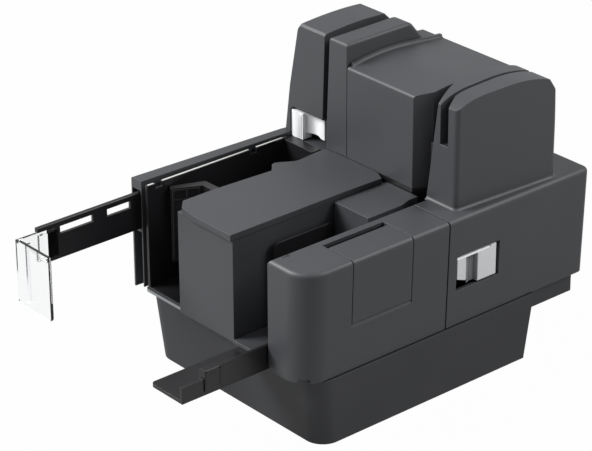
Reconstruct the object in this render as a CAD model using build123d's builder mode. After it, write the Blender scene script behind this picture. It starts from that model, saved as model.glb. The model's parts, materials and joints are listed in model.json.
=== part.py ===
"""Desktop cheque scanner: hopper at the front right, document path round the back, pocket at the left.

Millimetres, +Z up, +X the machine's right, +Y the feed direction in the hopper.  The origin is the centre
of the bounding box on the ground.  Plan positions are given as (across, back): across is measured inwards
from the right face and back is measured from the front face of the feeder cover.
"""
import os

from build123d import *

os.makedirs("parts", exist_ok=True)

# --- overall sizes -------------------------------------------------------------------------------------
body_width = 164.6          # right face to the outer face of the pocket wall
body_depth = 223.0          # front face of the feeder cover to the rear face
stopper_reach = 81.0        # front of the clear stopper ahead of the front face, extension drawn out
shelf_height = 111.4        # top of the right-hand body
deck_height = 113.7         # top of the deck and of the pocket wall
right = body_width / 2
front = (stopper_reach - body_depth) / 2

# --- common walls and gaps -----------------------------------------------------------------------------
wall = 2.5                  # moulded cover
thin_wall = 2.0             # moulded inner part
seam = 0.5                  # between neighbouring covers
slip = 0.3                  # between parts that move past each other
shaft_fit = 0.05            # radial clearance of a running shaft
press_gap = 0.02            # radial clearance drawn for a pressed part

# --- base, tray and frame ------------------------------------------------------------------------------
foot_height = 0.5           # the base stands this far off the ground
foot_recess = 1.0           # the feet sit this deep in its floor
foot_radius = 7.0
base_height = 41.4
base_right = 0.4
base_right_lean = 1.0
base_left = body_width - 14.6
base_left_flare = 4.0
base_front = 11.0
base_front_flare = 3.0
base_rear = body_depth - 50.8
base_rear_flare = 8.0
base_corner = 12.0
base_rear_corner = 4.0
tray_bottom = 30.0
tray_right = base_right + base_right_lean + wall + seam
tray_left = body_width - 16.6
tray_front = 12.6
tray_rear = body_depth - 8.0
tray_corner = base_corner - wall - seam
tray_rear_corner = 4.0
frame_bottom = 42.0
frame_thickness = 2.0
frame_right = 5.3
frame_left = body_width - 9.8
frame_front = 7.2
frame_rear = body_depth - 5.2
frame_corner = 12.0
floor_z = frame_bottom + frame_thickness
post_radius = 3.5
screw_radius = 1.4
screw_head_radius = 3.0
screw_head_height = 1.5
screw_length = 14.0
post_right = 12.0
post_left = base_left - 8.0
post_front = 28.0
post_rear = base_rear - 12.0
post_places = [(across, back) for across in (post_right, post_left) for back in (post_front, post_rear)]
foot_inset = 12.0           # feet stand this far in from the case screws
foot_places = [(across, back) for across in (post_right + foot_inset, post_left - foot_inset - 2.0)
               for back in (post_front + 4.0, post_rear - 6.0)]

# --- board and sockets ---------------------------------------------------------------------------------
board_right = base_left - 53.0
board_left = base_left - 14.0
board_front = 60.0
board_rear = base_rear - 2.6
board_height = 8.0
board_thickness = 1.6
board_top = board_height + board_thickness
board_post_radius = 3.0
chip_size = (16.0, 2.0)            # side, height
chip_right = board_right + 8.0
chip_back = board_front + 40.0
connector_size = (8.0, 18.0, 9.0)  # across, back, height
connector_right = board_right + 5.0
connector_back = board_front + 12.0
can_radius = 4.0
can_height = 11.0
can_spacing = 16.0
usb_right = board_right + 6.0
usb_size = (12.0, 16.0, 11.0)      # across, back, height
usb_tongue = (3.5, 4.0, 3.0)       # inset from each side, height above the board, thickness
jack_right = board_right + 25.0
jack_size = (9.0, 14.0, 11.0)
jack_radius = 3.2
jack_pin_radius = 1.0
port_wall = 1.5
port_depth = 9.0
port_gap = 0.5
port_rear = board_rear + 3.0

# --- right-hand body: feeder cover, hatch and door -----------------------------------------------------
body_bottom = 42.0
hopper_wall = 32.6          # face of the right-hand body towards the hopper
side_draft = 2.2            # the side leans in by this much at its lower edge
front_corner = 16.0
shelf_edge = 3.0
door_seam = 108.3
door_gap = 1.0
cover_back = door_seam - door_gap / 2
door_front = door_seam + door_gap / 2
hatch_front = 35.1
hatch_rear = 79.8
hatch_bottom = 71.6
hatch_top_reach = 21.4      # how far the hatch runs in over the top
hatch_slot = 4.8            # open groove along the hatch's inner edge
hatch_axis = (19.5, 106.0)  # (across, height)
sill_drop = 2.6             # bevelled finger sill below the hatch
sill_face = 1.2
sill_reach = 2.4
hatch_lug = 3.0
hatch_gap = 0.6
hatch_hinge_radius = 1.4
door_corner = 4.6           # rear inner corner of each door, concentric with its hinge
hinge_pin_radius = 1.8
hinge_tab_radius = 3.8      # round tab of the frame under each hinge
hinge_back = body_depth - door_corner
hinge_top = shelf_height - 12.0
right_hinge = (hopper_wall - door_corner, hinge_back)

# --- right tower with its card slot --------------------------------------------------------------------
tower_front = 120.4
tower_rear = body_depth - 24.8
tower_rear_lean = 3.0
tower_room_rear = body_depth - 29.5
tower_side_front = 8.6
tower_side_rear = 4.6
tower_height = 178.6
tower_foot_radius = 2.0
tower_front_radius = 3.0
tower_rear_radius = 4.0
tower_arch = [(tower_front, tower_height - 5.2), (tower_front + 11, tower_height - 0.8),
              (tower_front + 27, tower_height + 0.6), (tower_front + 42, tower_height + 1.0),
              (tower_front + 58, tower_height - 0.4), (tower_front + 70, tower_height - 3.6)]
tower_rear_drop = 11.0      # from the top to where the rear face starts down
card_slot = 2.6
card_slot_across = 21.2
card_slot_floor = 149.0
card_slot_side = card_slot / 2
card_flare = 6.5
card_flare_depth = 9.0
card_head_back = 158.0
card_head_height = 163.0
card_head_half = 4.0
card_head_right = tower_side_front + 4.5
blade_flare = 9.1           # the inner blade leans back by this much at its front top corner
blade_flare_depth = 22.6
blade_flare_low = 113.0

# --- core of the path: inner guide, centre block and pier ----------------------------------------------
core_right = 38.0
core_left = body_width - 44.8
core_front = 119.6
core_rear = body_depth - 33.0
core_corner = 18.0
cap_bottom = 156.0
cap_rear = core_rear + 4.0
cap_corner = 4.0
funnel_width = 6.2
funnel_depth = 10.5
block_front_height = 171.6
block_height = 174.8
block_rear_height = 171.4
block_rim = 2.0
pier_right = core_left - 18.5
pier_height = 186.3
pier_top_rear = core_rear - 19.0
pier_slope_rear = core_rear - 7.5
pier_step_height = 172.6
pier_draft = 3.2
pier_rim = 2.0
pier_top_radius = 6.0
pier_step_radius = 7.0
pier_side = pier_right - seam / 2
block_roof = block_front_height - wall - 1
pier_foot_radius = 2.0
guide_top = deck_height + 0.2
arch_drop = 1.2             # fall of the block's arched top, 20 to either side of its middle

# --- left door, lever and tower ------------------------------------------------------------------------
left_guide_plane = core_left + 4.0
left_outer = body_width - 4.4
left_front = core_front
left_rim = 2.0
left_hinge = (left_guide_plane + door_corner, hinge_back)
left_tower_lean = 2.8       # the inner face leans over the path by this much at the top
left_tower_height = 188.0
left_tower_top = left_outer - 16.0  # outer edge, 1 above the arch of the top
left_tower_shoulder = (left_outer - 7.3, 144.6)
left_tower_foot = (left_outer - 3.3, 115.0)
left_tower_radius = 3.0
left_tower_rim = 1.4
left_tower_arch = ((left_front + left_tower_rim, left_tower_height - 1.6),
                   (left_front + 14, left_tower_height - 0.5), (left_front + 28, left_tower_height),
                   (pier_top_rear - 4.0, left_tower_height - 0.7))
left_tower_rear = (body_depth - 27.0, 160.0)
left_tower_rear_foot = body_depth - 25.0

# --- rear cover and outer guide ------------------------------------------------------------------------
turn_front = core_rear - 18.0  # where the right-hand arm of the curved guide starts
turn_left_front = core_rear - 9.5
turn_gap = 4.6
turn_wall = 2.4
turn_outer = turn_gap + turn_wall
turn_top = cap_bottom - seam
rear_cover_front = body_depth - 26.0
rear_cover_sides = (hopper_wall + seam, left_guide_plane - seam)
switch_across = 100.0
switch_height = 75.0
switch_pivot_back = body_depth - 6.0
switch_half_width = 5.7
switch_half_height = 9.4
switch_depth = 4.7          # from the pivot to the outer edges of the rocker
switch_dish = 1.0
switch_tilt = 7.0
switch_room = switch_half_height + 2 * slip + 0.5

# --- latches -------------------------------------------------------------------------------------------
latch_front = 116.0
latch_rear = 147.0
latch_bottom = 65.8
latch_top = 86.0
latch_face = 1.3
latch_depth = 4.0
latch_grip_rise = 6.0
latch_grip_rear = 132.4
latch_scoop = ((0.0, 122.6), (latch_face, 122.6), (2.8, 124.4), (4.2, 127.4), (4.2, 131.4),
               (latch_face, 132.4), (0.0, 132.4))
latch_gap = 0.8
latch_finger_gap = 1.3
latch_lug = 4.0
latch_axis = (6.0, 144.5)
lever_bottom = 111.6
lever_top = 128.6
lever_arm_bottom = 115.6
lever_arm_left = left_outer - 19.0
lever_pad_depth = 3.0
lever_axis = (left_outer - 11.0, left_front + 3.6)
lever_recess_left = left_outer - 7.5
lever_recess_depth = 13.4
lever_recess_rear = left_front + lever_recess_depth
lever_recess_bottom = 110.8
lever_recess_top = 130.6
lever_recess_corner = 2.5
lever_face = ((2.0, -3.4), (-4.7, -3.6), (-8.2, -1.7), (-12.2, 1.2), (-16.2, 1.5), (-19.2, 0.4),
              (-24.4, -0.4))
lever_rear = ((-24.4, 2.2), (-19.2, 3.0), (-15.2, 4.4), (-10.2, 4.3), (-5.2, 2.6), (2.0, 2.6))
latch_pin_radius = 1.2
latch_barrel = 2.6
latch_pin_heights = (latch_bottom - 4.2, latch_top + 3.6)
lever_pin_heights = (lever_recess_bottom - 1.8, lever_recess_top + 2.0)

# --- hopper --------------------------------------------------------------------------------------------
hopper_left = 66.0
hopper_floor_bottom = floor_z + slip
hopper_floor_top = 46.8
hopper_floor_front = 2.0
feed_block_front = 78.0
feed_block_rear = 119.0
feed_block_right = 36.0
feed_block_left = 65.0
feed_block_height = 110.6
feed_block_step = (feed_block_rear - 15.0, feed_block_rear - 7.0)   # where its face steps in to the funnel
tray_out = 61.0             # hopper extension ahead of the front face, drawn out
extension_floor = 2.0
clip_skin = 0.6             # outer side of the clip, between the rail and the hopper wall
clip_slack = 0.15
extension_right = hopper_wall + slip + clip_skin + clip_slack
extension_left = 62.0
extension_lip_low = 52.4
extension_lip_high = 57.4
extension_lip = 2.0
extension_inside = 19.0
extension_corner = 3.0
extension_rear = extension_inside + tray_out
extension_step = -34.0      # where the lip steps up, back from the front face
clip_length = 11.4
clip_top = 57.6
clip_wall = 1.9
clip_left = extension_right + extension_lip + slip + clip_wall
hopper_floor_right = clip_left + 0.6
pusher_left = 64.0
pusher_thickness = 2.0
pusher_front = 30.0
pusher_rear = 74.0
pusher_bottom = 50.0
pusher_top = 100.0
pusher_rod = (55.0, 75.0)   # (back, height)
pusher_rod_radius = 3.0
pusher_rod_end = 94.0
pusher_corner = 3.0

# --- pocket --------------------------------------------------------------------------------------------
pocket_front = 6.8
pocket_liner_left = body_width - 13.2
pocket_rear = 112.0
pocket_floor = 46.4
liner_top = 112.4
liner_rear_top = 111.4
liner_notches = (15.5, 87.5)
liner_notch_half = 2.5
liner_notch_depth = 3.0
pocket_wall_rear = core_front - 0.4
outer_skin = 1.2
inner_skin = 0.9
inner_skin_right = body_width - 9.6
pocket_cap_rear = body_width - 12.2
cap_under = 107.2
crown_radius = 1.5
channel_floor = 82.2
channel_rear = 115.0
deck_right = 66.5
deck_left = body_width - 48.6
liner_right = deck_left + 0.2
liner_wall_right = pocket_liner_left - thin_wall
deck_front = 3.0
deck_rear = 118.5
deck_thickness = 4.0
deck_top_plan = (
    (deck_right - 0.5, 1.0), (deck_left - 16.0, 1.0), (deck_left - 4.0, 3.0), (deck_left + 2.6, 9.0),
    (deck_left + 2.8, 33.0), (deck_left + 0.4, 74.0), (deck_left + 7.0, 79.8), (deck_left + 7.6, 82.4),
    (deck_left + 6.8, 84.4), (deck_left + 1.6, 93.0), (deck_left + 1.0, 95.5), (deck_left + 2.8, 111.0),
    (deck_left + 2.8, pocket_wall_rear), (deck_right + 7.0, pocket_wall_rear), (deck_right - 0.7, 115.5),
    (deck_right, 85.0))
plate_out = 60.4            # extension plate ahead of the front face, drawn out
plate_bead_out = 67.0
plate_inside = 25.0
plate_web = 1.8
plate_inner = body_width - 7.9
plate_outer = plate_inner + plate_web
plate_bottom = channel_floor + slip
plate_web_top = 103.5
plate_top = 106.6
plate_bead_step = 0.5
plate_windows = ((-51.0, -27.5), (-17.3, -0.3))
plate_window_bottom = 98.0
plate_window_height = 4.7
stopper_wall = 2.0
stopper_bottom = 62.0
stopper_top = plate_web_top - slip
stopper_right = body_width - 37.6
stopper_rib = body_width - 15.6
stopper_front = -stopper_reach
stopper_ear = stopper_top - 2.2     # lower edge of the arm that joins the front to the plate
stopper_ear_reach = 5.0
stopper_edge = 1.0
stopper_foot = plate_bottom + 0.7
stopper_pad = 6.4
stopper_corner = 3.0
stopper_rib_width = 1.2
flap_axis = (deck_left + 3.6, 41.0)
flap_bottom = 60.0
flap_top = 108.0
flap_knuckle = 3.2
flap_knuckle_top = 99.0
flap_lug = 2.5
flap_arm = ((0.0, -2.5), (16.9, -2.5), (16.9, 0.0), (14.4, 2.4), (0.0, 2.5))
flap_blade = ((4.4, -2.5), (16.9, -2.5), (25.9, -20.0), (29.4, -18.0), (21.0, 2.3), (4.4, 2.5))
flap_lug_heights = (flap_bottom - slip - flap_lug, flap_knuckle_top + slip)

# --- rollers, shafts and drive -------------------------------------------------------------------------
nip_gap = 0.4
core_middle = (core_right + core_left) / 2 - 0.9
path_right = 34.2           # line of the document between the right-hand guides
path_left = core_left + 2.2
path_rear = core_rear + 3.4
shaft_radius = 3.0
drive_radius = 9.0
pinch_radius = 6.0
pinch_pin_radius = 1.5
roller_bottom = 58.0
roller_top = 100.0
roller_band = 12.0
roller_waist = 2.2          # depth of the groove between two bands
drive_roller_1 = (path_right + drive_radius, 134.0)
drive_roller_2 = (core_middle, path_rear - drive_radius)
drive_roller_3 = (path_left - drive_radius, 140.0)
motor_place = (core_middle, 126.0)
pickup_place = (21.4, 58.0)
feed_place = (21.6, 93.0)
pickup_radius = 12.0
feed_radius = 12.4
retard_radius = 12.0
retard_place = (feed_place[0] + feed_radius + nip_gap + retard_radius, feed_place[1])
feed_roller_bottom = 58.0
feed_roller_top = 98.0
retard_pin_radius = 2.0
pinch_1 = (path_right - nip_gap - pinch_radius, drive_roller_1[1])
pinch_2 = (drive_roller_2[0], path_rear + nip_gap + pinch_radius)
pinch_3 = (path_left + nip_gap + pinch_radius, drive_roller_3[1])
pinch_arm = 2.5
pinch_half = 3.0            # half the width of an arm that carries a pinch roller
pinch_window = 6.6
drive_window = drive_radius + 1.0   # half the width of a drive roller's window
window_bottom = roller_bottom - 2
window_top = roller_top + 2
pulley_bottom = 34.0
pulley_height = 6.0
pulley_radius = 7.5
feed_pulley_radius = 6.0
flange_step = 1.1
flange_thickness = 0.6
belt_thickness = 1.2
bush_radius = 4.6
bush_flange = 5.6
bush_flange_thickness = 0.8
guide_bottom = floor_z + bush_flange_thickness + slip
motor_radius = 17.0
motor_height = 24.0
feed_motor_radius = 13.5

# --- sensors and print head ----------------------------------------------------------------------------
sensor_back = (154.0, 168.0)
sensor_heights = (50.0, 132.0)
sensor_depth = 11.0
sensor_lens = 1.0
sensor_recess = 0.8
code_head_back = (144.5, 151.0)
code_head_heights = (50.0, 64.0)
code_head_depth = 8.0
cartridge_across = (core_left - 15.8, core_left - 6.4)
cartridge_back = (126.0, 162.0)
cartridge_top = 166.0
nozzle_back = (140.0, 150.0)
nozzle_heights = (118.0, 126.0)
guide_back = (door_front + wall + seam, tower_room_rear)
guide_step = (tower_front + wall, shelf_height - wall - seam)   # above this height it starts further back
right_guide_heights = (floor_z + slip, card_slot_floor - wall - seam)
guide_back_left = (left_front + wall + 4.0, tower_room_rear)
left_guide_heights = (floor_z + slip, lever_recess_bottom - wall - slip)


def from_right(across):
    """X of a place measured inwards from the right face."""
    return right - across


def from_front(back):
    """Y of a place measured back from the front face."""
    return front + back


def place(across_back):
    """XY of an (across, back) pair."""
    return (from_right(across_back[0]), from_front(across_back[1]))


def around(centre, offsets):
    """(across, back) points at offsets from a centre."""
    return [(centre[0] + across, centre[1] + back) for across, back in offsets]


def box(across, back, height, mode=Mode.ADD):
    """Box between two distances across, two back and two heights."""
    with BuildSketch(Plane.XY.offset(height[0])) as outline:
        with Locations(place((sum(across) / 2, sum(back) / 2))):
            Rectangle(across[1] - across[0], back[1] - back[0])
    extrude(outline.sketch, amount=height[1] - height[0], mode=mode)


def cornered(across, back, front_radius, rear_radius):
    """Rectangle in the plan sketch, with one radius for its front corners and one for its rear corners."""
    with Locations(place((sum(across) / 2, sum(back) / 2))):
        outline = Rectangle(across[1] - across[0], back[1] - back[0])
    ahead, behind = outline.vertices().group_by(Axis.Y)
    fillet(ahead, front_radius)
    fillet(behind, rear_radius)


def plan_prism(points, height, mode=Mode.ADD):
    """Upright prism on (across, back) points."""
    with BuildSketch(Plane.XY.offset(height[0])) as outline:
        Polygon(*[place(point) for point in points], align=None)
    extrude(outline.sketch, amount=height[1] - height[0], mode=mode)


def side_prism(points, across, mode=Mode.ADD):
    """Prism on (back, height) points, running across."""
    with BuildSketch(Plane.YZ.offset(from_right(across[1]))) as outline:
        Polygon(*[(from_front(back), height) for back, height in points], align=None)
    extrude(outline.sketch, amount=across[1] - across[0], mode=mode)


def end_prism(points, back, mode=Mode.ADD):
    """Prism on (across, height) points, running back."""
    with BuildSketch(Plane.XZ.offset(-from_front(back[1]))) as outline:
        Polygon(*[(from_right(across), height) for across, height in points], align=None)
    extrude(outline.sketch, amount=back[1] - back[0], mode=mode)


def post(centre, radius, height, mode=Mode.ADD):
    """Upright cylinder at an (across, back) centre."""
    with BuildSketch(Plane.XY.offset(height[0])) as outline:
        with Locations(place(centre)):
            Circle(radius)
    extrude(outline.sketch, amount=height[1] - height[0], mode=mode)


def rod(centre, radius, back, mode=Mode.ADD):
    """Cylinder that runs back, at an (across, height) centre."""
    with BuildSketch(Plane.XZ.offset(-from_front(back[1]))) as outline:
        with Locations((from_right(centre[0]), centre[1])):
            Circle(radius)
    extrude(outline.sketch, amount=back[1] - back[0], mode=mode)


def save(builder, name):
    """Label a finished piece and write it."""
    builder.part.label = name
    export_step(builder.part, f"parts/{name}.step")


def upright_edges(shape, across, back):
    """The upright edges that stand nearest to a plan place."""
    x, y = place((across, back))
    return (
        shape.edges()
        .filter_by(lambda edge: abs(edge.tangent_at(0.5).Z) > 0.9 and edge.length > 5)
        .filter_by(lambda edge: abs(edge.center().X - x) < 3 and abs(edge.center().Y - y) < 3)
    )


# === base ==============================================================================================
def base_body(inset, bottom, mode=Mode.ADD):
    """Drafted plinth, set in by a wall thickness."""
    rise = (base_height - foot_height)
    sections = []
    for height in (bottom, base_height):
        share = (height - foot_height) / rise
        edge = base_right + base_right_lean * share + inset
        left = base_left + base_left_flare * share - inset
        ahead = base_front - base_front_flare * share + inset
        behind = base_rear + base_rear_flare * share - inset
        with BuildSketch(Plane.XY.offset(height)) as section:
            cornered((edge, left), (ahead, behind), base_corner - inset, base_rear_corner - inset)
        sections.append(section.sketch)
    loft(sections, mode=mode)


with BuildPart() as base_shell:
    base_body(0, foot_height)
    base_body(wall, foot_height + wall, Mode.SUBTRACT)
    box((tray_right - seam, tray_left + seam), (base_rear - wall * 3, body_depth),
        (tray_bottom - seam, base_height), Mode.SUBTRACT)
    for spot in foot_places:
        post(spot, foot_radius + press_gap, (0, foot_height + foot_recess), Mode.SUBTRACT)
    for spot in post_places:
        post(spot, screw_radius + slip, (0, base_height / 3), Mode.SUBTRACT)
        post(spot, screw_head_radius + slip, (0, foot_height + screw_head_height), Mode.SUBTRACT)
    for across in (board_right + 4, board_left - 4):
        for back in (board_front + 4, board_rear - 8):
            post((across, back), board_post_radius, (foot_height + wall, board_height))
    for start, size in ((usb_right, usb_size), (jack_right, jack_size)):
        box((start - port_gap, start + size[0] + port_gap), (port_rear - size[1], body_depth),
            (board_top - port_gap, board_top + size[2] + port_gap),
            Mode.SUBTRACT)
save(base_shell, "base_shell")

with BuildPart() as rubber_feet:
    for spot in foot_places:
        post(spot, foot_radius, (0, foot_height + foot_recess))
save(rubber_feet, "rubber_feet")

with BuildPart() as main_board:
    box((board_right, board_left), (board_front, board_rear), (board_height, board_top))
    box((chip_right, chip_right + chip_size[0]),
        (chip_back, chip_back + chip_size[0]), (board_top, board_top + chip_size[1]))
    box((connector_right, connector_right + connector_size[0]),
        (connector_back, connector_back + connector_size[1]), (board_top, board_top + connector_size[2]))
    for row in (0, 1):
        post((board_left - 2 * can_radius, board_front + (row + 1) * can_spacing), can_radius,
             (board_top, board_top + can_height))
save(main_board, "main_board")

with BuildPart() as usb_port:
    box((usb_right, usb_right + usb_size[0]), (port_rear - usb_size[1] + port_gap, port_rear),
        (board_top, board_top + usb_size[2]))
    box((usb_right + port_wall, usb_right + usb_size[0] - port_wall), (port_rear - port_depth, port_rear),
        (board_top + port_wall, board_top + usb_size[2] - port_wall), Mode.SUBTRACT)
    box((usb_right + usb_tongue[0], usb_right + usb_size[0] - usb_tongue[0]),
        (port_rear - port_depth - port_wall, port_rear - port_wall),
        (board_top + usb_tongue[1], board_top + usb_tongue[1] + usb_tongue[2]))
save(usb_port, "usb_port")

with BuildPart() as power_inlet:
    middle = (jack_right + jack_size[0] / 2, board_top + jack_size[2] / 2)
    box((jack_right, jack_right + jack_size[0]), (port_rear - jack_size[1] + port_gap, port_rear),
        (board_top, board_top + jack_size[2]))
    rod(middle, jack_radius, (port_rear - port_depth, port_rear), Mode.SUBTRACT)
    rod(middle, jack_pin_radius, (port_rear - port_depth - port_wall, port_rear - port_wall))
save(power_inlet, "power_inlet")

# === lower tray and frame ==============================================================================
with BuildPart() as lower_tray:
    with BuildSketch(Plane.XY.offset(tray_bottom)):
        cornered((tray_right, tray_left), (tray_front, tray_rear), tray_corner, tray_rear_corner)
    extrude(amount=frame_bottom - tray_bottom)
    with BuildSketch(Plane.XY.offset(tray_bottom + wall)):
        cornered((tray_right + wall, tray_left - wall), (tray_front + wall, tray_rear - wall),
                 tray_corner - wall, tray_rear_corner - wall)
    extrude(amount=frame_bottom - tray_bottom, mode=Mode.SUBTRACT)
    box((hopper_wall - wall, hopper_left), (tray_front - wall, tray_front + 2 * wall),
        (frame_bottom - slip, frame_bottom), Mode.SUBTRACT)
    for spot in (motor_place, feed_place):
        post(spot, shaft_radius + 1.2, (tray_bottom, tray_bottom + wall), Mode.SUBTRACT)
    for spot in post_places:
        post(spot, post_radius, (foot_height + wall + slip, tray_bottom + wall))
        post(spot, screw_radius + press_gap, (0, tray_bottom - 2 * wall), Mode.SUBTRACT)
save(lower_tray, "lower_tray")

with BuildPart() as case_screws:
    for spot in post_places:
        post(spot, screw_head_radius, (foot_height, foot_height + screw_head_height))
        post(spot, screw_radius, (foot_height, foot_height + screw_length))
save(case_screws, "case_screws")

shaft_places = {
    "pickup": pickup_place,
    "feed": feed_place,
    "drive_1": drive_roller_1,
    "drive_2": drive_roller_2,
    "drive_3": drive_roller_3,
}

with BuildPart() as main_frame:
    box((frame_right, frame_left), (frame_front, frame_rear), (frame_bottom, floor_z))
    for across, back, radius in ((frame_right, frame_front, frame_corner), (frame_left, frame_front, wall),
                                 (frame_right, frame_rear, door_corner), (frame_left, frame_rear, wall)):
        corner = main_frame.edges().filter_by(Axis.Z).sort_by_distance((*place((across, back)), floor_z))[0]
        fillet(corner, radius)
    for spot in (right_hinge, left_hinge):
        post(spot, hinge_tab_radius, (frame_bottom, floor_z))
    post(retard_place, 2 * retard_pin_radius, (frame_bottom, feed_roller_bottom - slip))
    box((hopper_wall + slip, extension_left + slip), (frame_front - 1, extension_rear + seam),
        (frame_bottom, floor_z), Mode.SUBTRACT)
    for spot in shaft_places.values():
        post(spot, bush_radius + press_gap, (frame_bottom, floor_z), Mode.SUBTRACT)
    for spot in (right_hinge, left_hinge):
        post(spot, hinge_pin_radius + press_gap, (frame_bottom, floor_z), Mode.SUBTRACT)
    post(retard_place, retard_pin_radius + press_gap, (frame_bottom, feed_roller_bottom), Mode.SUBTRACT)
save(main_frame, "main_frame")

with BuildPart() as shaft_bushes:
    for spot in shaft_places.values():
        post(spot, bush_radius, (frame_bottom, floor_z))
        post(spot, bush_flange, (floor_z, floor_z + bush_flange_thickness))
        post(spot, shaft_radius + shaft_fit, (frame_bottom, floor_z + bush_flange_thickness), Mode.SUBTRACT)
save(shaft_bushes, "shaft_bushes")

# === drive: motors, shafts, pulleys, belts and rollers =================================================
with BuildPart() as drive_motor:
    post(motor_place, motor_radius, (tray_bottom - motor_height, tray_bottom - slip))
    fillet(drive_motor.edges().filter_by(GeomType.CIRCLE).sort_by(Axis.Z)[0], 1.5)
    post(motor_place, shaft_radius + slip, (tray_bottom - motor_height, tray_bottom), Mode.SUBTRACT)
save(drive_motor, "drive_motor")

with BuildPart() as feed_motor:
    post(feed_place, feed_motor_radius, (tray_bottom - motor_height, tray_bottom - slip))
    fillet(feed_motor.edges().filter_by(GeomType.CIRCLE).sort_by(Axis.Z)[0], 1.5)
    post(feed_place, shaft_radius + slip, (tray_bottom - motor_height, tray_bottom), Mode.SUBTRACT)
save(feed_motor, "feed_motor")


def pulley(centre, radius):
    """Belt pulley between two flanges."""
    post(centre, radius, (pulley_bottom, pulley_bottom + pulley_height))
    for height in (pulley_bottom, pulley_bottom + pulley_height - flange_thickness):
        post(centre, radius + flange_step, (height, height + flange_thickness))


def shaft(centre, radius, bottom, top_height):
    """Shaft with its pulley, turned down at its upper end."""
    post(centre, shaft_radius, (bottom, top_height))
    post(centre, shaft_radius - 0.6, (top_height, top_height + 1))
    pulley(centre, radius)


drive_spots = {"drive_1": drive_roller_1, "drive_2": drive_roller_2, "drive_3": drive_roller_3}
for name, spot in drive_spots.items():
    with BuildPart() as drive_shaft:
        shaft(spot, pulley_radius, pulley_bottom - 1, roller_top + 3)
    save(drive_shaft, f"{name}_shaft")

with BuildPart() as motor_pulley:
    shaft(motor_place, pulley_radius, tray_bottom - motor_height + 2, pulley_bottom + pulley_height + 1)
save(motor_pulley, "motor_pulley")

with BuildPart() as pickup_shaft:
    shaft(pickup_place, feed_pulley_radius, pulley_bottom - 1, feed_roller_top + 3)
save(pickup_shaft, "pickup_shaft")

with BuildPart() as feed_shaft:
    shaft(feed_place, feed_pulley_radius, tray_bottom - motor_height + 2, feed_roller_top + 3)
save(feed_shaft, "feed_shaft")


def banded_roller(centre, radius, bore, bottom, top_height, band):
    """Roller with a band at each end and a waist between them."""
    x, y = place(centre)
    waist = radius - roller_waist
    with BuildSketch(Plane(origin=(x, y, 0), x_dir=(1, 0, 0), z_dir=(0, -1, 0))) as profile:
        Polygon((bore, bottom), (radius, bottom), (radius, bottom + band), (waist, bottom + band),
                (waist, top_height - band), (radius, top_height - band), (radius, top_height),
                (bore, top_height), align=None)
    revolve(profile.sketch, axis=Axis((x, y, 0), (0, 0, 1)))


for name, spot in drive_spots.items():
    with BuildPart() as drive_roller:
        banded_roller(spot, drive_radius, shaft_radius + press_gap, roller_bottom, roller_top, roller_band)
    save(drive_roller, f"{name}_roller")

feed_band = (feed_roller_top - feed_roller_bottom) / 3
for name, spot, radius in (("pickup_roller", pickup_place, pickup_radius),
                           ("feed_roller", feed_place, feed_radius)):
    with BuildPart() as paper_roller:
        banded_roller(spot, radius, shaft_radius + press_gap, feed_roller_bottom, feed_roller_top, feed_band)
    save(paper_roller, name)

with BuildPart() as retard_roller:
    banded_roller(retard_place, retard_radius, retard_pin_radius + shaft_fit, feed_roller_bottom,
                  feed_roller_top, feed_band)
save(retard_roller, "retard_roller")


def belt(spots, radius):
    """Flat belt drawn tight round equal pulleys."""
    middle = pulley_bottom + pulley_height / 2
    width = pulley_height - 2 * flange_thickness - 2 * slip
    for reach, mode in ((radius + slip + belt_thickness, Mode.ADD), (radius + slip, Mode.SUBTRACT)):
        with BuildSketch(Plane.XY.offset(middle - width / 2)) as loop:
            for spot in spots:
                with Locations(place(spot)):
                    Circle(reach)
            make_hull()
        extrude(loop.sketch, amount=width, mode=mode)


with BuildPart() as transport_belt:
    belt((drive_roller_1, drive_roller_2, drive_roller_3, motor_place), pulley_radius)
save(transport_belt, "transport_belt")

with BuildPart() as feed_belt:
    belt((pickup_place, feed_place), feed_pulley_radius)
save(feed_belt, "feed_belt")

for number, spot in enumerate((pinch_1, pinch_2, pinch_3), start=1):
    with BuildPart() as pinch_roller:
        banded_roller(spot, pinch_radius, pinch_pin_radius + shaft_fit, roller_bottom, roller_top,
                      roller_band)
    save(pinch_roller, f"pinch_{number}_roller")

# === right-hand body: one block, cut into the feeder cover, the hatch and the door =====================


def side_block(inset, bottom):
    """The right-hand body as one block with rounded corners, set in by a wall thickness."""
    top_height = shelf_height - inset
    lean = side_draft * (top_height - bottom) / (shelf_height - body_bottom)
    with BuildPart() as block:
        end_prism([(hopper_wall - inset, bottom), (inset + lean, bottom), (inset, top_height),
                   (hopper_wall - inset, top_height)], (inset, body_depth - inset))
        fillet(upright_edges(block, inset, inset), front_corner - inset)
        fillet(upright_edges(block, inset, body_depth - inset), door_corner - inset)
        fillet(upright_edges(block, hopper_wall - inset, body_depth - inset), door_corner - inset)
        rim = block.faces().sort_by(Axis.Z)[-1].edges()
        inner_side = from_right(hopper_wall - inset)
        fillet(rim.filter_by(lambda edge: edge.center().X > inner_side + 0.1), max(shelf_edge - inset, 0.4))
    return block.part


side_outer = side_block(0, body_bottom)
side_inner = side_block(wall, body_bottom - 1)


def feed_window(centre, radius, mode=Mode.SUBTRACT):
    """Opening in the hopper wall that a feed roller bulges through."""
    offset_in = hopper_wall - wall - centre[0]
    half = (radius ** 2 - offset_in ** 2) ** 0.5 + 1.0
    box((hopper_wall - wall - 1, hopper_wall + 1), (centre[1] - half, centre[1] + half),
        (feed_roller_bottom - 2, feed_roller_top + 2), mode)


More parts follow.
